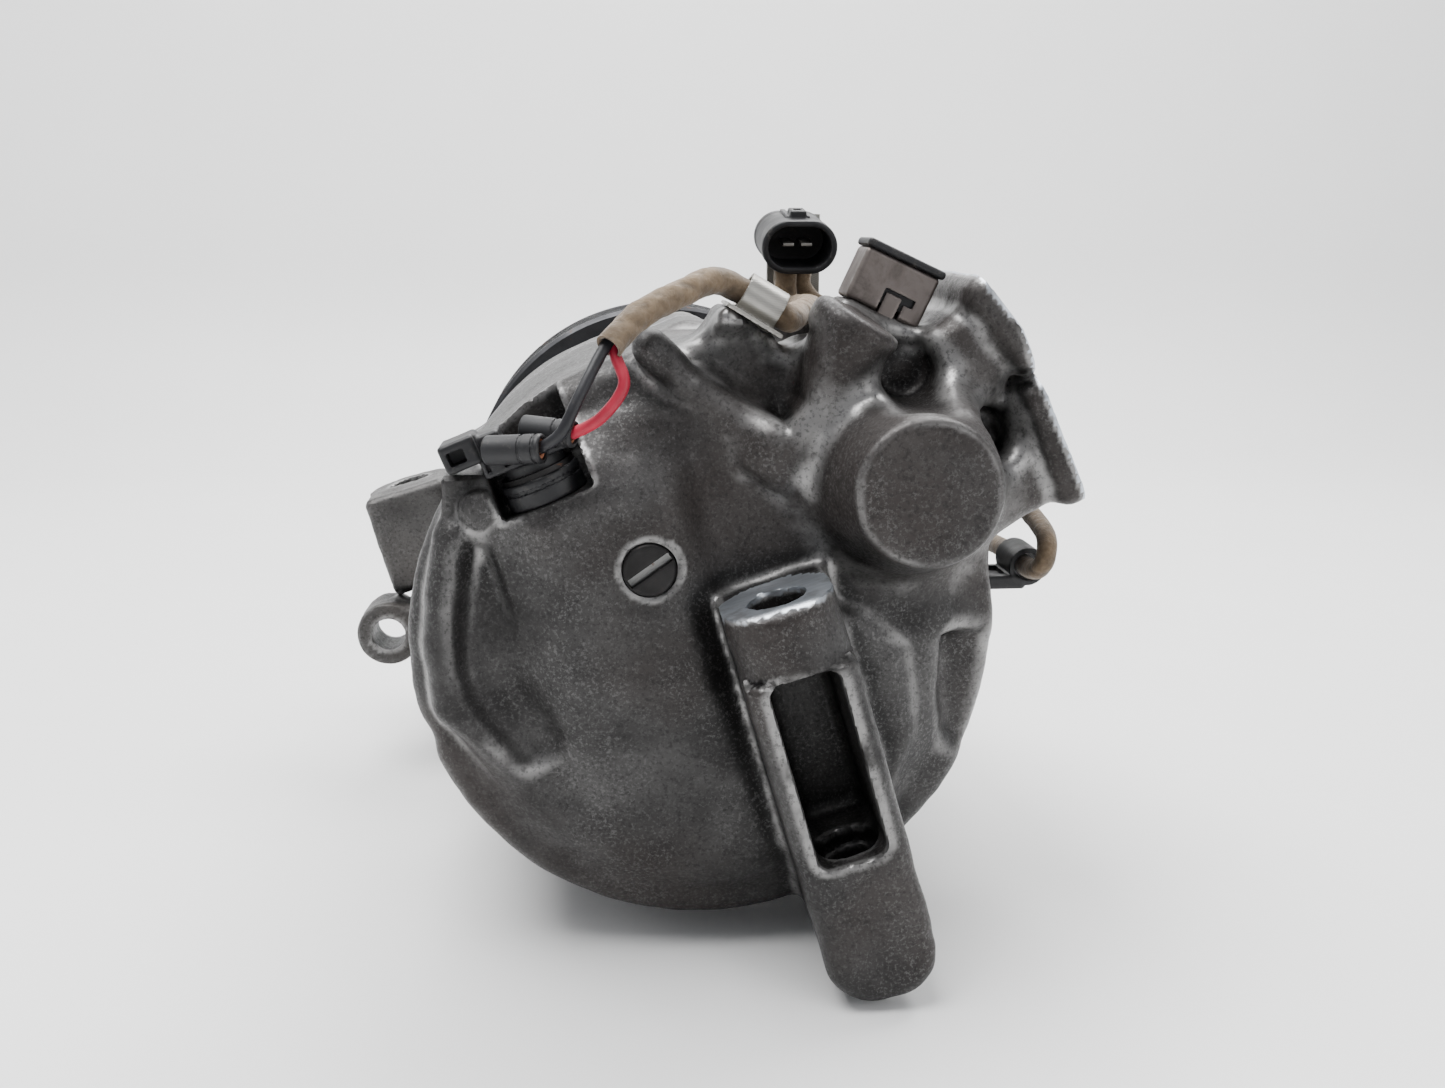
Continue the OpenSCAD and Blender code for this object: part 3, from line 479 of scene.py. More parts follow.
def front_casing(x, y, z):
    u, v = turned(x, y, LEAN)
    r = length(x, y)
    body = outline(r, z, FRONT_PROFILE + [(-5, -13), (-5, JOINT_Z - FLANGE_T)])
    slice_ = rounded(r - BODY_R, np.abs(z - JOINT_Z + FLANGE_T / 2) - FLANGE_T / 2, 1)
    for bx, by in BOLTS:
        slice_ = join(slice_, disc(x, y, z, bx, by, 6.2, JOINT_Z - FLANGE_T, JOINT_Z, 0.8), 2)
    body = join(body, slice_, 3)
    for a in RIB_ANGLES:
        rx, ry = turned(x, y, a)
        body = join(body, block(rx, ry, z, (34, -2.5, 43.5), (51, 2.5, 94), 1.2), 3)
    for lu, v0, v1, lz in ((-65.5, 4, 30.5, 38), (LUG_U, -66.7, -42, 44)):
        lug = join(rod(u, v, z, (lu, v0, lz), (lu, v1, lz), 11, 1),
                   block(u, v, z, (lu - 10.9, v0, lz), (lu + 10.9, v1, lz + 16), 2), 1)
        body = join(body, lug, 3)
    body = join(body, block(u, v, z, (-68, 11.2, 33), (-31.5, 23.2, 50), 2), 4)
    body = join(body, block(u, v, z, (LUG_U - 9, -46, 42), (LUG_U + 9, -28, 60), 2), 4)
    wx, wy = turned(x, y, 19)
    body = join(body, block(wx, wy, z, (-76, -6, 48), (-38, 5, 58), 2), 4)
    wx, wy = turned(x, y, 57)
    body = join(body, block(wx, wy, z, (-58, -8, 48), (-38, 8, 58), 2), 4)
    for ex, ey, er in EARS:
        body = join(body, disc(x, y, z, ex, ey, er, 46, 60, 1.2), 2.5)
    body = join(body, block(x, y, z, (18, 45, 95), (32, 58, 103), 1), 1.5)
    body = body + (0.2 * ripple(x, y, z, 12, 8) + 0.08 * ripple(x, y, z, 5, 9)) * np.clip((z - 24) / 4, 0, 1)
    body = cut(body, front_bores(x, y, z), 0.4)
    body = cut(body, front_hollow(x, y, z))
    return np.maximum(body, z - JOINT_Z)


def front_machined(x, y, z):
    on = (z > JOINT_Z - 0.3) | (z < 23.5) & (length(x, y) < 27.5)
    return ((front_hollow(x, y, z) < 0.3) | on) * 1.0


# ---- materials ----
class Finish:
    """A material whose colour, roughness and relief come from procedural nodes."""

    def __init__(self, name, metallic=0.0, specular=0.5):
        self.mat = bpy.data.materials.new("look_" + name)
        self.mat.use_nodes = True
        self.tree = self.mat.node_tree
        self.shader = self.tree.nodes["Principled BSDF"]
        self.shader.inputs["Metallic"].default_value = metallic
        self.shader.inputs["Specular IOR Level"].default_value = specular
        self.place = self.node("ShaderNodeTexCoord").outputs["Object"]
        self.relief = None

    def node(self, kind, **settings):
        n = self.tree.nodes.new(kind)
        for key, value in settings.items():
            setattr(n, key, value)
        return n

    def link(self, value, socket):
        if isinstance(value, bpy.types.NodeSocket):
            self.tree.links.new(value, socket)
        else:
            socket.default_value = value

    def noise(self, size, detail=3.0, rough=0.55, stretch=None, distortion=0.0):
        """Noise with features about size metres across."""
        n = self.node("ShaderNodeTexNoise")
        place = self.place
        if stretch:
            m = self.node("ShaderNodeMapping")
            m.inputs["Scale"].default_value = stretch
            self.link(place, m.inputs["Vector"])
            place = m.outputs["Vector"]
        self.link(place, n.inputs["Vector"])
        n.inputs["Scale"].default_value = 0.5 / size
        n.inputs["Detail"].default_value = detail
        n.inputs["Roughness"].default_value = rough
        n.inputs["Distortion"].default_value = distortion
        return n.outputs["Fac"]

    def rings(self, pitch, distortion):
        """Rings round the shaft, pitch metres apart."""
        n = self.node("ShaderNodeTexWave", wave_type="RINGS", rings_direction="Y")
        self.link(self.place, n.inputs["Vector"])
        n.inputs["Scale"].default_value = 0.314 / pitch
        n.inputs["Distortion"].default_value = distortion
        n.inputs["Detail"].default_value = 3
        n.inputs["Detail Scale"].default_value = 3
        return n.outputs["Fac"]

    def stored(self, name):
        """The number that note() left on the mesh; 0 where there is none."""
        return self.node("ShaderNodeAttribute", attribute_name=name).outputs["Fac"]

    def step(self, value, low, high, a=0.0, b=1.0):
        """From a to b, smoothly, as value goes from low to high."""
        n = self.node("ShaderNodeMapRange", interpolation_type="SMOOTHSTEP")
        self.link(value, n.inputs["Value"])
        for key, v in (("From Min", low), ("From Max", high), ("To Min", a), ("To Max", b)):
            n.inputs[key].default_value = v
        return n.outputs["Result"]

    def maths(self, operation, a, b=0.0):
        n = self.node("ShaderNodeMath", operation=operation)
        self.link(a, n.inputs[0])
        self.link(b, n.inputs[1])
        return n.outputs[0]

    def mix(self, amount, a, b):
        """A colour that goes from a to b."""
        n = self.node("ShaderNodeMix", data_type="RGBA")
        self.link(amount, n.inputs["Factor"])
        for value, socket in ((a, n.inputs[6]), (b, n.inputs[7])):
            self.link((*value, 1.0) if isinstance(value, tuple) else value, socket)
        return n.outputs[2]

    def blend(self, amount, a, b):
        """A number that goes from a to b."""
        n = self.node("ShaderNodeMix", data_type="FLOAT")
        self.link(amount, n.inputs["Factor"])
        self.link(a, n.inputs[2])
        self.link(b, n.inputs[3])
        return n.outputs[0]

    def bump(self, height, depth, strength=1.0):
        n = self.node("ShaderNodeBump")
        n.inputs["Strength"].default_value = strength
        n.inputs["Distance"].default_value = depth
        self.link(height, n.inputs["Height"])
        if self.relief is not None:
            self.link(self.relief, n.inputs["Normal"])
        self.relief = n.outputs["Normal"]
        return self

    def done(self, colour, rough, metallic=None):
        self.link(colour, self.shader.inputs["Base Color"])
        self.link(rough, self.shader.inputs["Roughness"])
        if metallic is not None:
            self.link(metallic, self.shader.inputs["Metallic"])
        if self.relief is not None:
            self.link(self.relief, self.shader.inputs["Normal"])
        return self.mat


def casting(name, dark, light, warm):
    """Stained die-cast aluminium: a fine salt-and-pepper skin over brown and grey stains, painted
    shade in hollows, edges lighter from rubbed wear and painted highlight, bright machined faces."""
    f = Finish(name, metallic=0.5, specular=0.32)
    stain = f.step(f.noise(0.020, 4, 0.6, distortion=0.6), 0.36, 0.64)
    cloud = f.step(f.noise(0.007, 5, 0.62), 0.34, 0.66)
    base = f.mix(f.blend(0.4, stain, cloud), dark, light)
    base = f.mix(f.step(f.noise(0.030, 3, 0.5), 0.46, 0.62, 0, 0.6), base, warm)
    # painted shade: the hollows darken towards a fraction of the dark colour, read from the stored hollow
    # measure
    hollow = f.step(f.stored("hollow"), 0.10, 0.55)
    base = f.mix(f.maths("MULTIPLY", hollow, 0.9), base, tuple(0.22 * c for c in dark))
    # proud edges lighten in patches: partly rubbed wear, partly painted highlight on the ridges
    proud = f.maths("MULTIPLY", f.step(f.stored("proud"), 0.06, 0.42),
                    f.step(f.noise(0.005, 4, 0.6), 0.28, 0.56))
    base = f.mix(f.maths("MULTIPLY", proud, 0.85), base, (0.25, 0.246, 0.242))
    # the skin's grain: pale and dark specks under half a millimetre across, thicker in patches
    grain = f.noise(0.00034, 3, 0.75)
    patch = f.step(f.noise(0.010, 4, 0.65), 0.38, 0.64, 0.25, 1.0)
    pale = f.maths("MULTIPLY", f.step(grain, 0.50, 0.64), patch)
    base = f.mix(f.maths("MULTIPLY", pale, 0.30), base, (0.17, 0.168, 0.166))
    pepper = f.step(f.noise(0.00045, 4, 0.7), 0.50, 0.66)
    base = f.mix(f.maths("MULTIPLY", pepper, 0.50), base, tuple(0.35 * c for c in dark))
    scratch = f.noise(0.0006, 3, 0.6, stretch=(0.2, 1, 1))
    bright = f.mix(scratch, (0.36, 0.39, 0.43), (0.62, 0.66, 0.71))
    bright = f.mix(f.step(f.noise(0.003, 4, 0.6), 0.48, 0.66, 0, 0.5), bright, (0.20, 0.19, 0.185))
    machined = f.step(f.stored("machined"), 0.25, 0.75)
    colour = f.mix(machined, base, bright)
    rough = f.blend(machined, f.blend(proud, f.step(grain, 0.3, 0.7, 0.56, 0.38), 0.34), 0.40)
    f.bump(grain, 0.00007, 0.5)
    f.bump(f.noise(0.0012, 3, 0.6), 0.00012, 0.4)
    f.bump(f.noise(0.0045, 3, 0.55), 0.0005, 0.45)
    return f.done(colour, rough, f.blend(machined, f.blend(proud, 0.35, 0.75), 1.0))


def turned_metal(name, colour, rough=0.32, rust=0.0, tone=0.18):
    """Machined metal with fine turning marks round the shaft and a little staining."""
    f = Finish(name, metallic=1.0)
    marks = f.rings(0.0004, distortion=1.5)
    cloud = f.noise(0.006, 4, 0.6)
    dark = tuple(c * (1 - 2.2 * tone) for c in colour)
    base = f.mix(f.step(cloud, 0.35, 0.68), colour, dark)
    base = f.mix(f.maths("MULTIPLY", marks, 0.25), base, tuple(min(1, c * 1.25) for c in colour))
    base = f.mix(f.stored("machined"), base, (0.25, 0.25, 0.245))
    if rust:
        spots = f.step(f.noise(0.0025, 5, 0.7, distortion=1.0), 0.66 - 0.2 * rust, 0.72, 0, 0.85)
        base = f.mix(spots, base, (0.12, 0.045, 0.018))
        metal = f.blend(spots, 1.0, 0.1)
        roughness = f.blend(spots, f.step(cloud, 0.3, 0.7, rough, rough + 0.16), 0.8)
    else:
        metal, roughness = None, f.step(cloud, 0.3, 0.7, rough, rough + 0.16)
    f.bump(marks, 0.00002, 0.4).bump(f.noise(0.0006, 3), 0.00003, 0.35)
    return f.done(base, roughness, metal)


def moulded(name, colour, rough=0.45, dust=0.25):
    """Moulded plastic or rubber with a fine grain and dust."""
    f = Finish(name, specular=0.35)
    cloud = f.noise(0.005, 4, 0.6)
    base = f.mix(f.step(cloud, 0.35, 0.7), colour, tuple(c * 1.6 + 0.003 for c in colour))
    dirt = f.step(f.noise(0.0012, 5, 0.7), 0.56, 0.74, 0, dust)
    base = f.mix(dirt, base, (0.15, 0.135, 0.115))
    f.bump(f.noise(0.0005, 3, 0.6), 0.00004, 0.6).bump(f.noise(0.003, 2), 0.0001, 0.3)
    return f.done(base, f.step(cloud, 0.3, 0.7, rough, rough + 0.2))


def sleeving(name):
    """Braided glass-fibre sleeving, browned and grimy, with fibres running along it."""
    f = Finish(name, specular=0.25)
    f.shader.inputs["Sheen Weight"].default_value = 0.25
    fibre = f.noise(0.0006, 4, 0.65, distortion=0.4)
    grime = f.step(f.noise(0.007, 5, 0.65), 0.42, 0.70)
    base = f.mix(fibre, (0.10, 0.068, 0.040), (0.26, 0.19, 0.120))
    base = f.mix(f.maths("MULTIPLY", grime, 0.7), base, (0.050, 0.036, 0.024))
    # painted shade: darker inside the open mouth and in the valleys between wrinkles, from the hollow values
    # that hose() stores
    base = f.mix(f.maths("MULTIPLY", f.stored("hollow"), 0.9), base, (0.012, 0.009, 0.007))
    f.bump(fibre, 0.00025, 0.9).bump(f.noise(0.0022, 3, 0.6), 0.0006, 0.6)
    return f.done(base, f.step(fibre, 0.3, 0.7, 0.9, 0.7))


def sheet(name, colour, streak):
    """Brushed sheet steel, stained in streaks."""
    f = Finish(name, metallic=0.75)
    brush = f.noise(0.0004, 3, 0.6, stretch=(1, 0.12, 1))
    cloud = f.noise(0.004, 5, 0.65, distortion=0.5)
    base = f.mix(f.step(cloud, 0.38, 0.68), colour, streak)
    base = f.mix(f.maths("MULTIPLY", brush, 0.35), base, tuple(min(1, 1.4 * c) for c in colour))
    f.bump(brush, 0.00003, 0.5).bump(cloud, 0.0001, 0.3)
    return f.done(base, f.step(cloud, 0.3, 0.7, 0.36, 0.58))


FINISHES = {
    "cast": casting("cast_alloy", (0.010, 0.009, 0.009), (0.058, 0.056, 0.055), (0.028, 0.022, 0.020)),
    "front": casting("front_cast_alloy", (0.035, 0.033, 0.032), (0.105, 0.101, 0.098),
                     (0.065, 0.055, 0.048)),
    "alloy": turned_metal("machined_alloy", (0.42, 0.43, 0.44), 0.32),
    "steel": turned_metal("steel", (0.23, 0.225, 0.22), 0.40, rust=0.3),
    "bearing": turned_metal("bearing_steel", (0.42, 0.42, 0.43), 0.16, tone=0.08),
    "zinc": turned_metal("zinc_steel", (0.34, 0.33, 0.305), 0.36, rust=0.15),
    "spring": turned_metal("spring_steel", (0.20, 0.212, 0.235), 0.30),
    "bronze": turned_metal("bronze", (0.42, 0.27, 0.12), 0.34),
    "pulley": turned_metal("pulley_steel", (0.055, 0.055, 0.058), 0.45, rust=0.25),
    "black_steel": turned_metal("black_steel", (0.030, 0.029, 0.029), 0.48, rust=0.12),
    "sheet": sheet("sheet_steel", (0.13, 0.112, 0.104), (0.060, 0.050, 0.045)),
    "rubber": moulded("seal_rubber", (0.015, 0.015, 0.016), 0.55, 0.1),
    "plastic": moulded("black_plastic", (0.007, 0.007, 0.008), 0.42, 0.22),
    "cage": moulded("cage_plastic", (0.30, 0.17, 0.06), 0.42, 0.1),
    "resin": moulded("coil_resin", (0.10, 0.045, 0.02), 0.30, 0.15),
    "black_lead": moulded("black_insulation", (0.009, 0.009, 0.011), 0.40, 0.15),
    "red_lead": moulded("red_insulation", (0.25, 0.010, 0.026), 0.36, 0.10),
    "seal": moulded("boot_seal", (0.22, 0.085, 0.045), 0.5, 0.2),
    "sleeve": sleeving("tan_sleeve"),
}
NODE_FINISH = {
    "alloy": ["fixed_scroll", "orbiting_scroll"],
    "bronze": ["counterweight", "thrust_plate"],
    "steel": ["crankshaft", "drive_bush", "clutch_hub", "clutch_plate", "coil_shell", "dowel_pins"],
    "bearing": ["orbit_rings", "orbit_pins", "crank_bearing_cup", "crank_bearing_needles",
                "main_bearing_inner_race", "main_bearing_outer_race", "main_bearing_balls",
                "front_bearing_inner_race", "front_bearing_outer_race", "front_bearing_balls",
                "pulley_bearing_inner_race", "pulley_bearing_outer_race", "pulley_bearing_balls"],
    "zinc": ["casing_bolts", "hub_nut", "sleeve_clip", "connector_bracket", "reed_screw", "reed_stop"],
    "spring": ["discharge_reed", "leaf_springs", "seal_ring", "pulley_bearing_ring", "coil_ring"],
    "pulley": ["pulley"],
    "black_steel": ["screw_plug", "heat_switch_ring"],
    "sheet": ["box_bracket"],
    "rubber": ["casing_o_ring", "scroll_o_ring", "shaft_seal", "fixed_scroll_tip_seal",
               "orbiting_scroll_tip_seal"],
    "plastic": ["heat_switch", "switch_plug", "switch_terminals", "bracket_cap", "coil_connector",
                "coil_lead_clip"],
    "cage": ["main_bearing_cage", "front_bearing_cage", "pulley_bearing_cage"],
    "resin": ["coil_winding"],
    "black_lead": ["black_lead"],
    "red_lead": ["red_lead"],
    "sleeve": ["lead_sleeve", "coil_lead"],
    "cast": ["rear_housing"],
    "front": ["front_housing"],
}


def wear(obj, finish):
    obj.data.materials.clear()
    obj.data.materials.append(FINISHES[finish])


# the CAD nodes that stay, and those whose place a piece takes below
for finish, names in NODE_FINISH.items():
    for name in names:
        node = frame["nodes"][name]
        if node.material_slots:
            for s in node.material_slots:
                s.link = "OBJECT"
                s.material = FINISHES[finish]
        else:
            node.data.materials.append(FINISHES[finish])


def stands_for(piece, finish, *nodes):
    """Dresses a piece and puts it in the place of CAD nodes."""
    wear(piece, finish)
    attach(piece, "casing")
    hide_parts(*nodes)


stands_for(sculpt("rear_casting", rear_casing, (-62, -70, 103), (84, 80, 200), 1.0, rear_machined),
           "cast", "rear_housing")
stands_for(sculpt("front_casting", front_casing, (-86, -72, -14), (62, 64, 105), 1.2, front_machined),
           "front", "front_housing")


# ---- the small moulded and formed pieces ----
BLACK_ROUTE = [(-30.8, 40.8, 183.2), (-27, 43.8, 185.4), (-23.4, 50.7, 184.4), (-19.5, 57.6, 180.6),
               (-17, 60.5, 178.6)]
RED_ROUTE = [(-25.2, 42.8, 179.8), (-19.9, 46, 182), (-15.8, 51.8, 182.4), (-17.3, 57.5, 179.6),
             (-15.4, 60, 178)]
SLEEVE_ROUTE = [(-18.4, 58.4, 181.2), (-16.2, 60.6, 179.2), (-12, 64.1, 176), (-4.6, 67.4, 171),
                (1.2, 69.4, 166.5), (6, 67.9, 164), (15.2, 62.4, 164), (19, 62.5, 154), (23, 63, 142),
                (24, 62.5, 126), (22, 62, 115), (22, 66, 112), (22, 70.2, 112)]
COIL_ROUTE = [(40, -6, 22.7), (40, -6, 27), (48, -5, 36), (58, -1, 52), (66, 2, 74), (72, 5, 98),
              (73.5, 6, 116), (73.5, 6, 136), (74.5, 9, 142), (75.5, 14, 139), (75.5, 17, 126),
              (74, 22, 110), (66, 40, 104), (50, 60, 106), (38, 61, 110), (30, 62, 110), (26.4, 66, 108),
              (26.4, 70.2, 108)]
BOOTS = [((-40.5, 40, 179.5), (-30.2, 40.8, 183.5), 2.7), ((-34, 43.5, 176), (-24.6, 42.8, 180), 2.5)]


def curve(pts, step):
    """Points about step mm apart on the smooth curve through pts."""
    pts = np.array(pts, float)
    ends = np.vstack([pts[:1], pts, pts[-1:]])
    line = []
    for p0, p1, p2, p3 in zip(ends, ends[1:], ends[2:], ends[3:]):
        n = max(2, int(np.linalg.norm(p2 - p1) / step))
        for t in np.arange(n) / n:
            line.append(0.5 * (2 * p1 + (p2 - p0) * t + (2 * p0 - 5 * p1 + 4 * p2 - p3) * t * t
                               + (3 * p1 - p0 - 3 * p2 + p3) * t ** 3))
    return np.array(line + [pts[-1]])


def hose(name, route, r, step=0.5, sides=28, crease=0.0, mouth=0.0, seed=1):
    """A tube along a route: crease mm of wrinkles, and an open mouth that deep at its start."""
    line = curve(route, step)
    ways = np.gradient(line, axis=0)
    ways /= np.linalg.norm(ways, axis=1, keepdims=True)
    side = np.cross(ways[0], (0.3, 0.1, 1.0))
    rings = []
    for c, w in zip(line, ways):
        side = side - w * (side @ w)
        side /= np.linalg.norm(side)
        rings.append((c, (side.copy(), np.cross(w, side)), r, 0.0))
    start, frame0, _, _ = rings[0]
    if mouth:
        # the last number of each mouth ring is painted shade, 1 deep inside the mouth and 0 at its lip
        inner = [(start + ways[0] * d, frame0, r * k, s) for d, k, s in
                 ((mouth, 0.01, 1.0), (mouth * 0.98, 0.62, 1.0), (0.9, 0.70, 0.9), (0.15, 0.76, 0.35),
                  (0.0, 0.86, 0.0), (0.1, 0.98, 0.0))]
    else:
        inner = [(start, frame0, 0.01, 0.0), (start, frame0, 0.9 * r, 0.0)]
    end, frame1, _, _ = rings[-1]
    rings = inner + rings + [(end, frame1, 0.9 * r, 0.0), (end, frame1, 0.01, 0.0)]
    a = np.arange(sides) * 2 * math.pi / sides
    points = np.array([c + rr * (np.cos(a)[:, None] * f[0] + np.sin(a)[:, None] * f[1])
                       for c, f, rr, _ in rings]).reshape(-1, 3)
    hollow = np.repeat([s for *_, s in rings], sides)
    if crease:
        mid = np.repeat([c for c, *_ in rings], sides, 0)
        out = points - mid
        lump = ripple(*points.T, 4.0, seed) + 0.6 * ripple(*(points * (0.5, 0.5, 1.3)).T, 1.6, seed + 1)
        points = points + crease * (lump - 0.3)[:, None] * out / r
        # painted shade in the valleys between the wrinkles
        hollow = np.clip(hollow + np.clip(-0.9 * lump - 0.25, 0, 0.5), 0, 1)
    n = len(rings)
    i, k = np.meshgrid(np.arange(n - 1), np.arange(sides), indexing="ij")
    j = (k + 1) % sides
    faces = np.stack([i * sides + k, i * sides + j, (i + 1) * sides + j, (i + 1) * sides + k], -1)
    obj = mesh_object(name, points, faces.reshape(-1, 4), 60)
    note(obj, "hollow", hollow)
    return obj


def plug_body(x, y, z):
    a, b = turned(x, y, NOTCH_TURN)
    body = block(a, b, z, (-31, 50.3, 168.5), (-24, 55.8, 178), 0.8)
    body = join(body, block(a, b, z, (-25, 46.9, 164), (-8.5, 50.4, 177), 0.6), 0.6)
    body = join(body, block(a, b, z, (-25.5, 50, 166), (-20, 54.6, 174.5), 0.8), 0.8)
    body = cut(body, block(a, b, z, (-29.8, 51.6, 174.5), (-26.6, 54.2, 181), 0.3), 0.2)
    body = cut(body, block(a, b, z, (-24.2, 48, 175.6), (-23.5, 60, 181), 0.1), 0.2)
    for k in range(4):
        groove = block(a, b, z, (-21 + 3.1 * k, 47.8, 176.2), (-19.4 + 3.1 * k, 49.6, 179), 0.2)
        body = cut(body, groove, 0.2)
    return body + 0.05 * ripple(x, y, z, 3, 21)


def boots(x, y, z):
    shape = None
    for a, b, r in BOOTS:
        a, b = np.array(a), np.array(b)
        d = (b - a) / np.linalg.norm(b - a)
        one = rod(x, y, z, a, b, r, 0.5)
        for t in (0.62, 0.86):
            m = a + (b - a) * t
            core = rod(x, y, z, m - d, m + 2 * d, r - 0.25)
            one = cut(one, cut(rod(x, y, z, m, m + 0.5 * d, r + 1), core), 0.15)
        one = cut(one, rod(x, y, z, b - 2.4 * d, b + d, r - 0.7), 0.15)
        shape = one if shape is None else np.minimum(shape, one)
    return shape


def boot_rings(x, y, z):
    shape = None
    for a, b, r in BOOTS:
        a, b = np.array(a), np.array(b)
        d = (b - a) / np.linalg.norm(b - a)
        hole = rod(x, y, z, b - d, b + d, 1.15)
        one = cut(rod(x, y, z, b - 2.3 * d, b - 0.5 * d, r - 0.72, 0.3), hole, 0.2)
        shape = one if shape is None else np.minimum(shape, one)
    return shape


def switch_body(x, y, z):
    a, b = turned(x, y, NOTCH_TURN)
    a = a - SWITCH_A
    r = length(a, z - SWITCH_Z)
    body = rounded(r - SWITCH_R, np.abs(b - NOTCH_FLOOR - 2.6) - 2.6, 0.5)
    body = cut(body, np.maximum(SWITCH_R - 0.35 - r, np.abs(b - NOTCH_FLOOR - 3.4) - 0.35), 0.1)
    top = rounded(r - SWITCH_R + 1.7, np.abs(b - NOTCH_FLOOR - 6.6) - 1.6, 0.4)
    return join(body, top, 0.3)


def capsule(x, y, x0, x1, cy):
    """The distance from a segment along x at height cy."""
    return length(x - np.clip(x, x0, x1), y - cy)


def tipped(y, z):
    """The connector's own height and depth: its mouth hangs down a little."""
    c, s = math.cos(math.radians(CONNECTOR_TIP)), math.sin(math.radians(CONNECTOR_TIP))
    dy, dz = y - CONNECTOR_Y, z - CONNECTOR_Z
    return CONNECTOR_Y + dy * c + dz * s, CONNECTOR_Z + dz * c - dy * s


def connector(x, y, z):
    y, z = tipped(y, z)
    far = capsule(x, y, *CONNECTOR_X, CONNECTOR_Y)
    body = rounded(far - 5.5, np.abs(z - CONNECTOR_Z) - 9, 0.5)
    body = join(body, rounded(far - 5.7, np.abs(z - 118.6) - 2.4, 0.5), 0.4)
    body = join(body, rounded(far - 5.6, np.abs(z - 104.2) - 1.2, 0.5), 0.4)
    for k in (22, 26):
        body = join(body, block(x, y, z, (k - 0.6, 80, 105), (k + 0.6, 82.2, 117), 0.3), 0.3)
    body = join(body, block(x, y, z, (22.2, 80.4, 112), (25.8, 83.4, 117.5), 0.5), 0.4)
    body = join(body, block(x, y, z, (20.4, 70.4, 104), (27.6, 72.5, 117), 0.4), 0.4)
    body = cut(body, block(x, y, z, (23.2, 79.6, 113.5), (24.8, 85, 116), 0.2), 0.2)
    return cut(body, rounded(far - 4.4, np.abs(z - 116) - 7, 0.3), 0.3)


def connector_pins(x, y, z):
    y, z = tipped(y, z)
    return np.minimum(*(block(x, y, z, (c - 1.2, 75.6, 108), (c + 1.2, 76.4, 117), 0.25) for c in (22, 26)))


def bracket(x, y, z):
    a, b = turned(x, y, BRACKET_TURN)
    body = block(a, b, z, (-3.5, 71.5, 151), (12, 82, 162), 0.9)
    body = cut(body, block(a, b, z, (-2.6, 72.4, 151.9), (11.1, 86, 161.1), 0.4), 0.1)
    body = cut(body, block(a, b, z, (3.0, 70.5, 159), (7.6, 76.2, 165), 0.3), 0.2)
    body = cut(body, block(a, b, z, (3.0, 74.6, 159), (9.4, 76.2, 165), 0.3), 0.2)
    tab = block(a, b, z, (3.5, 70.8, 160.6), (6.9, 75.6, 161.6), 0.3)
    return np.minimum(body, tab)


def cap(x, y, z):
    a, b = turned(x, y, BRACKET_TURN)
    body = join(block(a, b, z, (-2.5, 73, 152), (11, 82.4, 161), 0.4),
                block(a, b, z, (-4, 82, 150.5), (12.5, 83.6, 162.5), 0.6), 0.3)
    return cut(body, block(a, b, z, (-1.5, 83.1, 153), (10, 85, 160), 0.4), 0.3)


def clip(x, y, z):
    a, b = turned(x, y, CLIP_TURN)
    ring = np.abs(length(b - 61.3, z - 164) - 3.7) - 0.4
    ring = rounded(ring, np.abs(a + 24.5) - 4, 0.15)
    body = join(ring, block(a, b, z, (-30.5, 57.5, 158), (-18.5, 58.3, 171), 0.3), 0.8)
    for k in (-28, -24.5, -21):
        body = join(body, block(a, b, z, (k - 0.3, 57.5, 158.5), (k + 0.3, 58.9, 160.6), 0.2), 0.4)
    return body


def slotted_plug(x, y, z):
    body = rounded(length(x - PLUG[0], y - PLUG[1]) - 5, np.abs(z - 172.3) - 8.3, 0.7)
    a, b = turned(x - PLUG[0], y - PLUG[1], SLOT_TURN)
    return cut(body, block(a, b, z, (-4.6, -0.85, RIM_Z + 10.8), (4.6, 0.85, RIM_Z + 14), 0.25), 0.25)


def slot_floor(x, y, z):
    a, b = turned(x - PLUG[0], y - PLUG[1], SLOT_TURN)
    return (z < RIM_Z + 11.1) * (np.abs(a) < 4.7) * (np.abs(b) < 0.9) * 1.0


def coil_clip(x, y, z):
    ring = rounded(np.abs(length(x - LOOP[0], y - LOOP[1]) - 3.6) - 0.6, np.abs(z - 128) - 6, 0.4)
    arm = block(x, y, z, (61, 1, 122), (73, 4.2, 134), 0.7)
    arm = cut(arm, block(x, y, z, (63, 3.2, 124), (69, 6, 132), 0.4), 0.2)
    arm = cut(arm, disc(x, y, z, *LOOP, 3.0, 120, 136))
    return join(ring, arm, 0.6)


SMALL = [
    ("plug_housing", plug_body, (-52, 26, 162), (10, 62, 180), 0.35, "plastic", ["switch_plug"]),
    ("lead_boots", boots, (-46, 34, 170), (-18, 50, 188), 0.25, "plastic", ["switch_terminals"]),
    ("thermal_switch", switch_body, (-44, 22, 160), (-10, 52, 180), 0.35, "plastic", ["heat_switch"]),
    ("lead_plug_body", connector, (14, 69, 101), (34, 85, 123), 0.3, "plastic", ["coil_connector"]),
    ("formed_bracket", bracket, (22, 50, 149), (60, 82, 165), 0.4, "sheet", ["box_bracket"]),
    ("bracket_lid", cap, (22, 50, 149), (60, 86, 164), 0.4, "plastic", ["bracket_cap"]),
    ("strap_clip", clip, (-2, 54, 156), (22, 74, 172), 0.3, "zinc", ["sleeve_clip"]),
    ("slotted_plug", slotted_plug, (-18, 11, 163), (-5, 24, 182), 0.3, "black_steel", ["screw_plug"]),
    ("coil_lead_loop", coil_clip, (59, -1, 120), (80, 12, 136), 0.4, "plastic", ["coil_lead_clip"]),
]
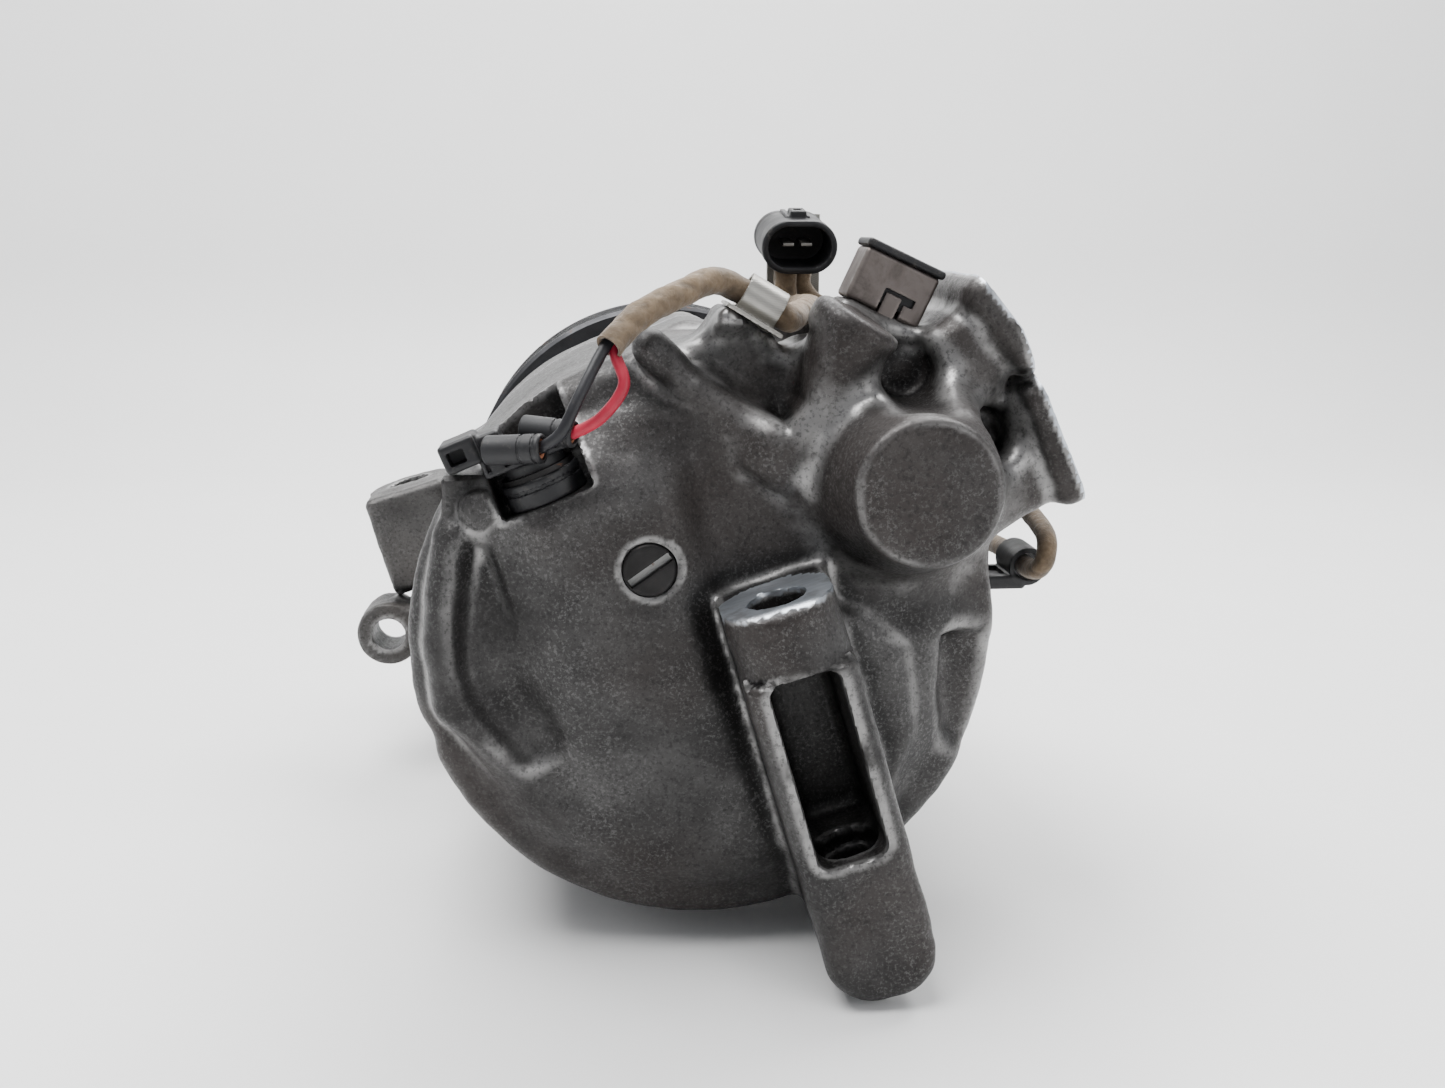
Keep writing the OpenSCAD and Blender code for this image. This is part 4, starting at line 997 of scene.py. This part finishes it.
for name, shape, lo, hi, cell, finish, nodes in SMALL:
    bared = slot_floor if shape is slotted_plug else None
    stands_for(sculpt(name, shape, lo, hi, cell, bared, wear=0.5), finish, *nodes)
for name, shape, lo, hi, finish in (
        ("boot_seals", boot_rings, (-46, 34, 170), (-18, 50, 188), "seal"),
        ("connector_blades", connector_pins, (18, 73, 106), (31, 79, 119), "zinc")):
    piece = sculpt(name, shape, lo, hi, 0.25, wear=0.4)
    wear(piece, finish)
    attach(piece, "casing")
stands_for(hose("black_wire", BLACK_ROUTE, 1.1, 0.4, 18, 0.03), "black_lead", "black_lead")
stands_for(hose("red_wire", RED_ROUTE, 1.1, 0.4, 18, 0.03), "red_lead", "red_lead")
stands_for(hose("fibre_sleeve", SLEEVE_ROUTE, 2.6, 0.35, 44, 0.16, 5.0), "sleeve", "lead_sleeve")
stands_for(hose("coil_lead_sleeve", COIL_ROUTE, 2.2, 0.6, 30, 0.10, seed=5), "sleeve", "coil_lead")


# ---- camera, lights and floor ----
CAMERA_AT, CAMERA_DOWN, CAMERA_RIGHT, CAMERA_LENS = (-0.02194, -0.44840, 0.07929), 11.96, 5.08, 37.37
# name, place, what it points at, size (m) and power (W)
LIGHTS = [("key", (-0.30, -0.20, 0.90), (0, -0.15, 0.02), (0.8, 0.6), 20),
          ("top_rear", (0.25, 0.30, 0.75), (0, -0.1, 0.02), (0.8, 0.4), 13),
          ("fill", (0.7, -0.8, 0.30), (0, -0.1, 0), (0.6, 0.6), 3.5)]


def camera():
    """Behind and a little above the machine, looking down and to the right."""
    data = bpy.data.cameras.new("camera")
    data.lens, data.sensor_width = CAMERA_LENS, 36.0
    data.clip_start = 0.01
    cam = bpy.data.objects.new("camera", data)
    cam.location = CAMERA_AT
    cam.rotation_euler = (math.radians(90 - CAMERA_DOWN), 0, math.radians(-CAMERA_RIGHT))
    bpy.context.scene.collection.objects.link(cam)
    bpy.context.scene.camera = cam


def softbox(name, place, target, size, power):
    data = bpy.data.lights.new(name, "AREA")
    data.shape, data.size, data.size_y = "RECTANGLE", *size
    data.energy = power
    light = bpy.data.objects.new(name, data)
    light.location = place
    light.rotation_euler = (Vector(target) - Vector(place)).to_track_quat("-Z", "Y").to_euler()
    bpy.context.scene.collection.objects.link(light)


def floor():
    """A pale floor that curves up into a backdrop well behind the machine."""
    level = float(CAD_BOX[0][2]) - 0.0002
    far, bend, width = 0.55, 0.12, 2.2
    profile = [(-1.6, level), (far - bend, level)]
    profile += [(far - bend + bend * math.sin(a), level + bend * (1 - math.cos(a)))
                for a in np.linspace(0.1, math.pi / 2, 12)]
    profile.append((far, 1.4))
    points = [(x, y, z) for y, z in profile for x in (-width, width)]
    faces = [(2 * i, 2 * i + 1, 2 * i + 3, 2 * i + 2) for i in range(len(profile) - 1)]
    mesh = bpy.data.meshes.new("floor")
    mesh.from_pydata(points, [], faces)
    mesh.polygons.foreach_set("use_smooth", [True] * len(faces))
    obj = bpy.data.objects.new("floor", mesh)
    bpy.context.scene.collection.objects.link(obj)
    f = Finish("floor_paint", specular=0.35)
    cloud = f.noise(0.06, 5, 0.6)
    f.bump(f.noise(0.012, 3), 0.0004, 0.25)
    obj.data.materials.append(f.done(f.mix(cloud, (0.78, 0.78, 0.775), (0.84, 0.84, 0.835)), 0.5))


def world():
    w = bpy.data.worlds.new("studio")
    w.use_nodes = True
    back = w.node_tree.nodes["Background"]
    back.inputs["Color"].default_value = (0.93, 0.95, 1.0, 1)
    back.inputs["Strength"].default_value = 0.55
    bpy.context.scene.world = w


camera()
for light in LIGHTS:
    softbox(*light)
floor()
world()
